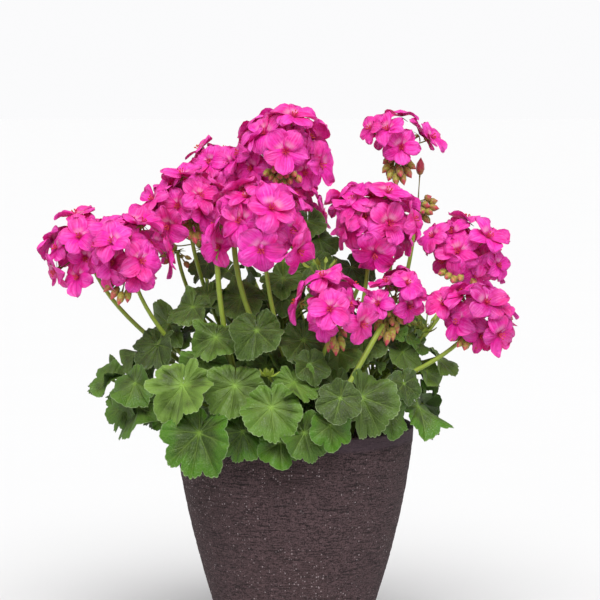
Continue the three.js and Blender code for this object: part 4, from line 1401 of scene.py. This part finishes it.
def petal_material():
    """Living petal: silky hot pink, redder in patches, streaked along its veins, and dark red at its claw.

    It is paler towards its end, partly in its own colour and partly as painted highlight, and its pale
    patches are painted highlight. The two upper petals of a floret have a faint pale blotch. The underside
    is a little more violet, and light comes through it in a warmer pink.
    """
    made, tree = new_material("pink petal")
    across, along, tone, upper, under = read_marks(tree)
    place = add_node(tree, "TexCoord", output="Object")
    mottle = add_node(tree, "TexNoise", {"Vector": place, "Scale": per(PETAL_PATCH), "Detail": 3.0})
    flush = add_node(tree, "TexNoise", {"Vector": place, "Scale": per(PETAL_FLUSH), "Detail": 1.0})
    crumple = add_node(tree, "TexNoise", {"Vector": place, "Scale": per(PETAL_CRUMPLE), "Detail": 1.0})

    # Streaks along the veins are noise on the chart, many across the petal and few along it, new for each
    # tone. The dark streaks are the veins, and the pale streaks between them are painted highlight.
    fan = add_node(tree, "CombineXYZ", [across, along, tone])
    spread = [size / vein for size, vein in zip(PETAL_SIZE, PETAL_VEIN)]
    fan = add_node(tree, "Mapping", {"Vector": fan, "Scale": (*spread, 40.0)})
    lines = add_node(tree, "TexNoise", {"Vector": fan, "Scale": 1.0, "Detail": 2.0})
    # Painted highlight: pale streaks between the veins, as if light caught the petal's crinkles
    pale = add_node(tree, "MapRange", [lines, 0.34, 0.5, 1.0, 0.0], **SOFT_STEP)
    growing = add_node(tree, "MapRange", [along, 0.2, 0.6, 0.0, 0.36], **SOFT_STEP)
    pale = add_node(tree, "Math", [pale, growing], **TIMES)
    veins = add_node(tree, "MapRange", [lines, 0.5, 0.66], **SOFT_STEP)
    fading = add_node(tree, "MapRange", [along, 0.25, 1.0, 0.55, 0.15], **SOFT_STEP)
    veins = add_node(tree, "Math", [veins, fading], **TIMES)

    # The blotch lies just beyond the claw, in the petal's middle.
    off = add_node(tree, "Math", [across, 0.5], operation="SUBTRACT")
    off = add_node(tree, "Math", [off], operation="ABSOLUTE")
    blotch = add_node(tree, "MapRange", [off, 0.1, 0.45, 0.38, 0.038], **SOFT_STEP)
    near = add_node(tree, "MapRange", [along, 0.14, 0.24], **SOFT_STEP)
    far = add_node(tree, "MapRange", [along, 0.26, 0.5, 1.0, 0.0], **SOFT_STEP)
    for part in (near, far, upper):
        blotch = add_node(tree, "Math", [blotch, part], **TIMES)

    pink = add_node(tree, "Mix", [tone, linear(0xF214A4), linear(0xFF2AC6)], **COLOURS)
    for cover, colour in (
        (add_node(tree, "MapRange", [tone, 0.0, 0.4, 1.0, 0.0], **SOFT_STEP), 0xC20E86),
        (add_node(tree, "MapRange", [flush, 0.42, 0.6, 0.0, 0.6], **SOFT_STEP), 0xF01E7C),
        # Painted highlight: the pale patches, the pale streaks, and the paler end, which is partly the
        # petal's own colour
        (add_node(tree, "MapRange", [mottle, 0.35, 0.65, 0.0, 0.36], **SOFT_STEP), 0xFF60D8),
        (add_node(tree, "MapRange", [along, 0.4, 0.9, 0.0, 0.3], **SOFT_STEP), 0xFF80E0),
        (pale, 0xFF8CE8),
        (veins, 0xC60E74),
        (blotch, 0xFBDCEA),
        (add_node(tree, "MapRange", [along, 0.05, 0.26, 0.9, 0.0], **SOFT_STEP), 0xB8104E),
        (add_node(tree, "Math", [under, 0.6], **TIMES), 0xD23BB0),
    ):
        pink = add_node(tree, "Mix", [cover, pink, linear(colour)], **COLOURS)
    height = add_node(tree, "Math", [lines, -0.5, crumple], **TIMES_PLUS)
    bump = add_node(tree, "Bump", {"Height": height, "Strength": 0.8, "Distance": 2.5 * METRES})
    glow = add_node(tree, "Mix", [0.5, pink, linear(0xFF249E)], **COLOURS)
    finish = {"Roughness": 0.45, "IOR": 1.37, "Sheen Weight": 0.03, "Sheen Roughness": 0.35}
    thin_sheet(tree, pink, glow, bump, 0.36, finish)
    return made


def planter_material():
    """Cast stone, drawn level while wet: matt purplish brown, in fine level streaks with darker scratches.

    Its sand gives a fine grit, pale grains of stone lie in patches, and a band at the rim is smoother.
    """
    made, tree = new_material("streaked cast stone")
    place = add_node(tree, "TexCoord", output="Object")
    height = add_node(tree, "SeparateXYZ", [place], output="Z")
    level, high = (per(size) for size in STONE_STREAK)
    drawn = add_node(tree, "Mapping", {"Vector": place, "Scale": (level, level, high)})
    streak = add_node(tree, "TexNoise", {"Vector": drawn, "Scale": 1.0, "Detail": 6.0, "Roughness": 0.7})
    level, high = (per(size) for size in STONE_SCRATCH)
    dragged = add_node(tree, "Mapping", {"Vector": place, "Scale": (level, level, high)})
    scratch = add_node(tree, "TexNoise", {"Vector": dragged, "Scale": 1.0, "Detail": 2.0})
    scratch = add_node(tree, "MapRange", [scratch, 0.57, 0.67], **SOFT_STEP)
    sand = add_node(tree, "TexNoise", {"Vector": place, "Scale": per(STONE_SAND), "Detail": 3.0})
    cloud = add_node(tree, "TexNoise", {"Vector": place, "Scale": per(STONE_CLOUD), "Detail": 3.0})
    low, top = (METRES * edge for edge in POT_BAND_HEIGHTS)
    band = add_node(tree, "MapRange", [height, low, top], **SOFT_STEP)
    quiet = add_node(tree, "Math", [band, -0.8, 1.0], **TIMES_PLUS)

    # A grain fills the heart of its cell. A random colour gives each cell its grain's size and its
    # paleness, which the cloud raises in patches.
    grains = add_node(tree, "TexVoronoi", {"Vector": place, "Scale": per(STONE_GRAIN)})
    red, green, _ = add_node(tree, "SeparateColor", [grains.node.outputs["Color"]]).node.outputs
    reach = add_node(tree, "Math", [green, 0.3, 0.08], **TIMES_PLUS)
    specks = add_node(tree, "Math", [grains, reach], operation="LESS_THAN")
    raised = add_node(tree, "Math", [cloud, 1.8, -0.91], **TIMES_PLUS)
    pale = add_node(tree, "Math", [red, raised], operation="ADD")
    pale = add_node(tree, "MapRange", [pale, 0.64, 0.98, 0.0, 0.95], **SOFT_STEP)
    for part in (pale, quiet):
        specks = add_node(tree, "Math", [specks, part], **TIMES)

    tone = add_node(tree, "MapRange", [streak, 0.38, 0.62], **SOFT_STEP)
    stone = add_node(tree, "Mix", [tone, linear(0x271C1E), linear(0x5E4A4D)], **COLOURS)
    for cover, colour in (
        (add_node(tree, "MapRange", [sand, 0.48, 0.62, 0.0, 0.55], **SOFT_STEP), 0x6A5254),
        (add_node(tree, "MapRange", [sand, 0.38, 0.48, 0.6, 0.0], **SOFT_STEP), 0x1C1415),
        (add_node(tree, "Math", [scratch, 0.75], **TIMES), 0x1C1415),
        (add_node(tree, "MapRange", [cloud, 0.4, 0.7, 0.0, 0.35], **SOFT_STEP), 0x4A3838),
        (add_node(tree, "Math", [band, 0.7], **TIMES), 0x483A42),
        (specks, 0xA8989A),
    ):
        stone = add_node(tree, "Mix", [cover, stone, linear(colour)], **COLOURS)
    relief = add_node(tree, "Math", [streak, 1.6, sand], **TIMES_PLUS)
    relief = add_node(tree, "Math", [scratch, -0.6, relief], **TIMES_PLUS)
    relief = add_node(tree, "Math", [relief, quiet], **TIMES)
    bump = add_node(tree, "Bump", {"Height": relief, "Strength": 0.9, "Distance": 1.6 * METRES})

    # The stone's IOR is that of quartz and cement, and its pores take away part of the gloss.
    surface = add_node(tree, "BsdfPrincipled", {
        "Base Color": stone, "Normal": bump, "Roughness": 0.88, "IOR": 1.5, "Specular IOR Level": 0.3,
    })
    add_node(tree, "OutputMaterial", [surface])
    return made


def mix_material():
    """Damp, crumbled peat and bark: near black and dull, with each crumb a little different."""
    made, tree = new_material("peat and bark")
    _, _, tone, _, _ = read_marks(tree)
    place = add_node(tree, "TexCoord", output="Object")
    crumbs = add_node(tree, "TexNoise", {"Vector": place, "Scale": per(BARK_CRUMB), "Detail": 5.0})
    earth = add_node(tree, "Mix", [tone, linear(0x1D1410), linear(0x4A3322)], **COLOURS)
    brown = add_node(tree, "MapRange", [crumbs, 0.35, 0.7, 0.0, 0.6], **SOFT_STEP)
    earth = add_node(tree, "Mix", [brown, earth, linear(0x372619)], **COLOURS)
    bump = add_node(tree, "Bump", {"Height": crumbs, "Strength": 0.9, "Distance": 2 * METRES})
    finish = {"Roughness": 0.95, "IOR": 1.5}
    surface = add_node(tree, "BsdfPrincipled", {"Base Color": earth, "Normal": bump, **finish})
    add_node(tree, "OutputMaterial", [surface])
    return made


def show(shapes, name, material, node):
    """Makes a piece, lets it ride on the one body, and hides the CAD node that it stands for."""
    if not shapes.points:
        return
    made = shapes.piece(name, material)
    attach(made, "root")
    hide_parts(node)


def dress():
    """Every piece of the plant and its planter."""
    leaf, stalk, bud = leaf_blade_material(), stalk_material(), bud_material()
    petal, stamen = petal_material(), stamen_material()
    show(planter(), "planter_wall", planter_material(), "planter")
    show(potting_mix(), "peat_and_bark", mix_material(), "potting_mix")
    for name in STEMS:
        blades, stalks, buds = leafy_stem(name)
        node = "leafy_stem_" + name
        show(blades, "leaves_" + name, leaf, node)
        show(stalks, "stalks_" + name, stalk, node)
        show(buds, "buds_" + name, bud, node)
    for key, umbel in UMBELS.items():
        if umbel[4]:
            petals, stamens, stalks = umbel_shapes(key)
            node = "umbel_" + key
            show(petals, "petals_" + key, petal, node)
            show(stamens, "stamens_" + key, stamen, node)
            show(stalks, "pedicels_" + key, stalk, node)


def floor_material():
    """Matt white card: even and pale, with the faintest soft patches. Its fibres are too fine to show."""
    made, tree = new_material("matt white card")
    place = add_node(tree, "TexCoord", output="Object")
    patches = add_node(tree, "TexNoise", {"Vector": place, "Scale": per(CARD_PATCH)})
    patches = add_node(tree, "MapRange", [patches, 0.3, 0.7, 0.0, 0.1], **SOFT_STEP)
    white = add_node(tree, "Mix", [patches, linear(0xD6D6D6), linear(0xD2D2D2)], **COLOURS)
    surface = add_node(tree, "BsdfPrincipled", {"Base Color": white, "Roughness": 0.9, "IOR": 1.5})
    add_node(tree, "OutputMaterial", [surface])
    return made


def floor():
    """A wide, plain, pale floor."""
    half = FLOOR_WIDTH / 2
    corners = [(-half, -half, 0), (half, -half, 0), (half, half, 0), (-half, half, 0)]
    mesh = bpy.data.meshes.new("floor")
    mesh.from_pydata(corners, [], [(0, 1, 2, 3)])
    mesh.materials.append(floor_material())
    plane = bpy.data.objects.new("floor", mesh)
    bpy.context.scene.collection.objects.link(plane)


def look_from(made, place, target):
    """Puts a camera or light at a place, turned towards a target."""
    made.location = place
    made.rotation_euler = (target - place).to_track_quat("-Z", "Y").to_euler()
    bpy.context.scene.collection.objects.link(made)


def studio():
    """Soft daylight from above and the front in a white room, and the camera at the photograph's angle."""
    scene = bpy.context.scene
    scene.view_settings.view_transform = "Standard"
    scene.world = bpy.data.worlds.new("white room")
    scene.world.use_nodes = True
    tree = scene.world.node_tree
    tree.nodes.clear()

    # The camera sees the room brighter than it lights the plant: the photograph's ground is nearly white.
    seen = add_node(tree, "LightPath", output="Is Camera Ray")
    strength = add_node(tree, "Math", [seen, ROOM_SEEN - ROOM_LIGHT, ROOM_LIGHT], **TIMES_PLUS)
    room = add_node(tree, "Background", [linear(0xFDFDFE), strength])
    add_node(tree, "OutputWorld", [room])

    sun = bpy.data.lights.new("window_light", "SUN")
    sun.energy = SUN_STRENGTH
    sun.angle = math.radians(SUN_WIDTH)
    look_from(bpy.data.objects.new("window_light", sun), Vector(SUN_PLACE), Vector((0, 0, 0)))

    camera = bpy.data.cameras.new("camera")
    camera.sensor_width = SENSOR_WIDTH
    camera.lens = CAMERA_LENS
    elevation = math.radians(CAMERA_ELEVATION)
    offset = Vector((0, -math.cos(elevation), math.sin(elevation))) * CAMERA_DISTANCE
    seat = bpy.data.objects.new("camera", camera)
    look_from(seat, Vector(CAMERA_TARGET) + offset, Vector(CAMERA_TARGET))
    scene.camera = seat


dress()
floor()
studio()
bpy.context.view_layer.update()
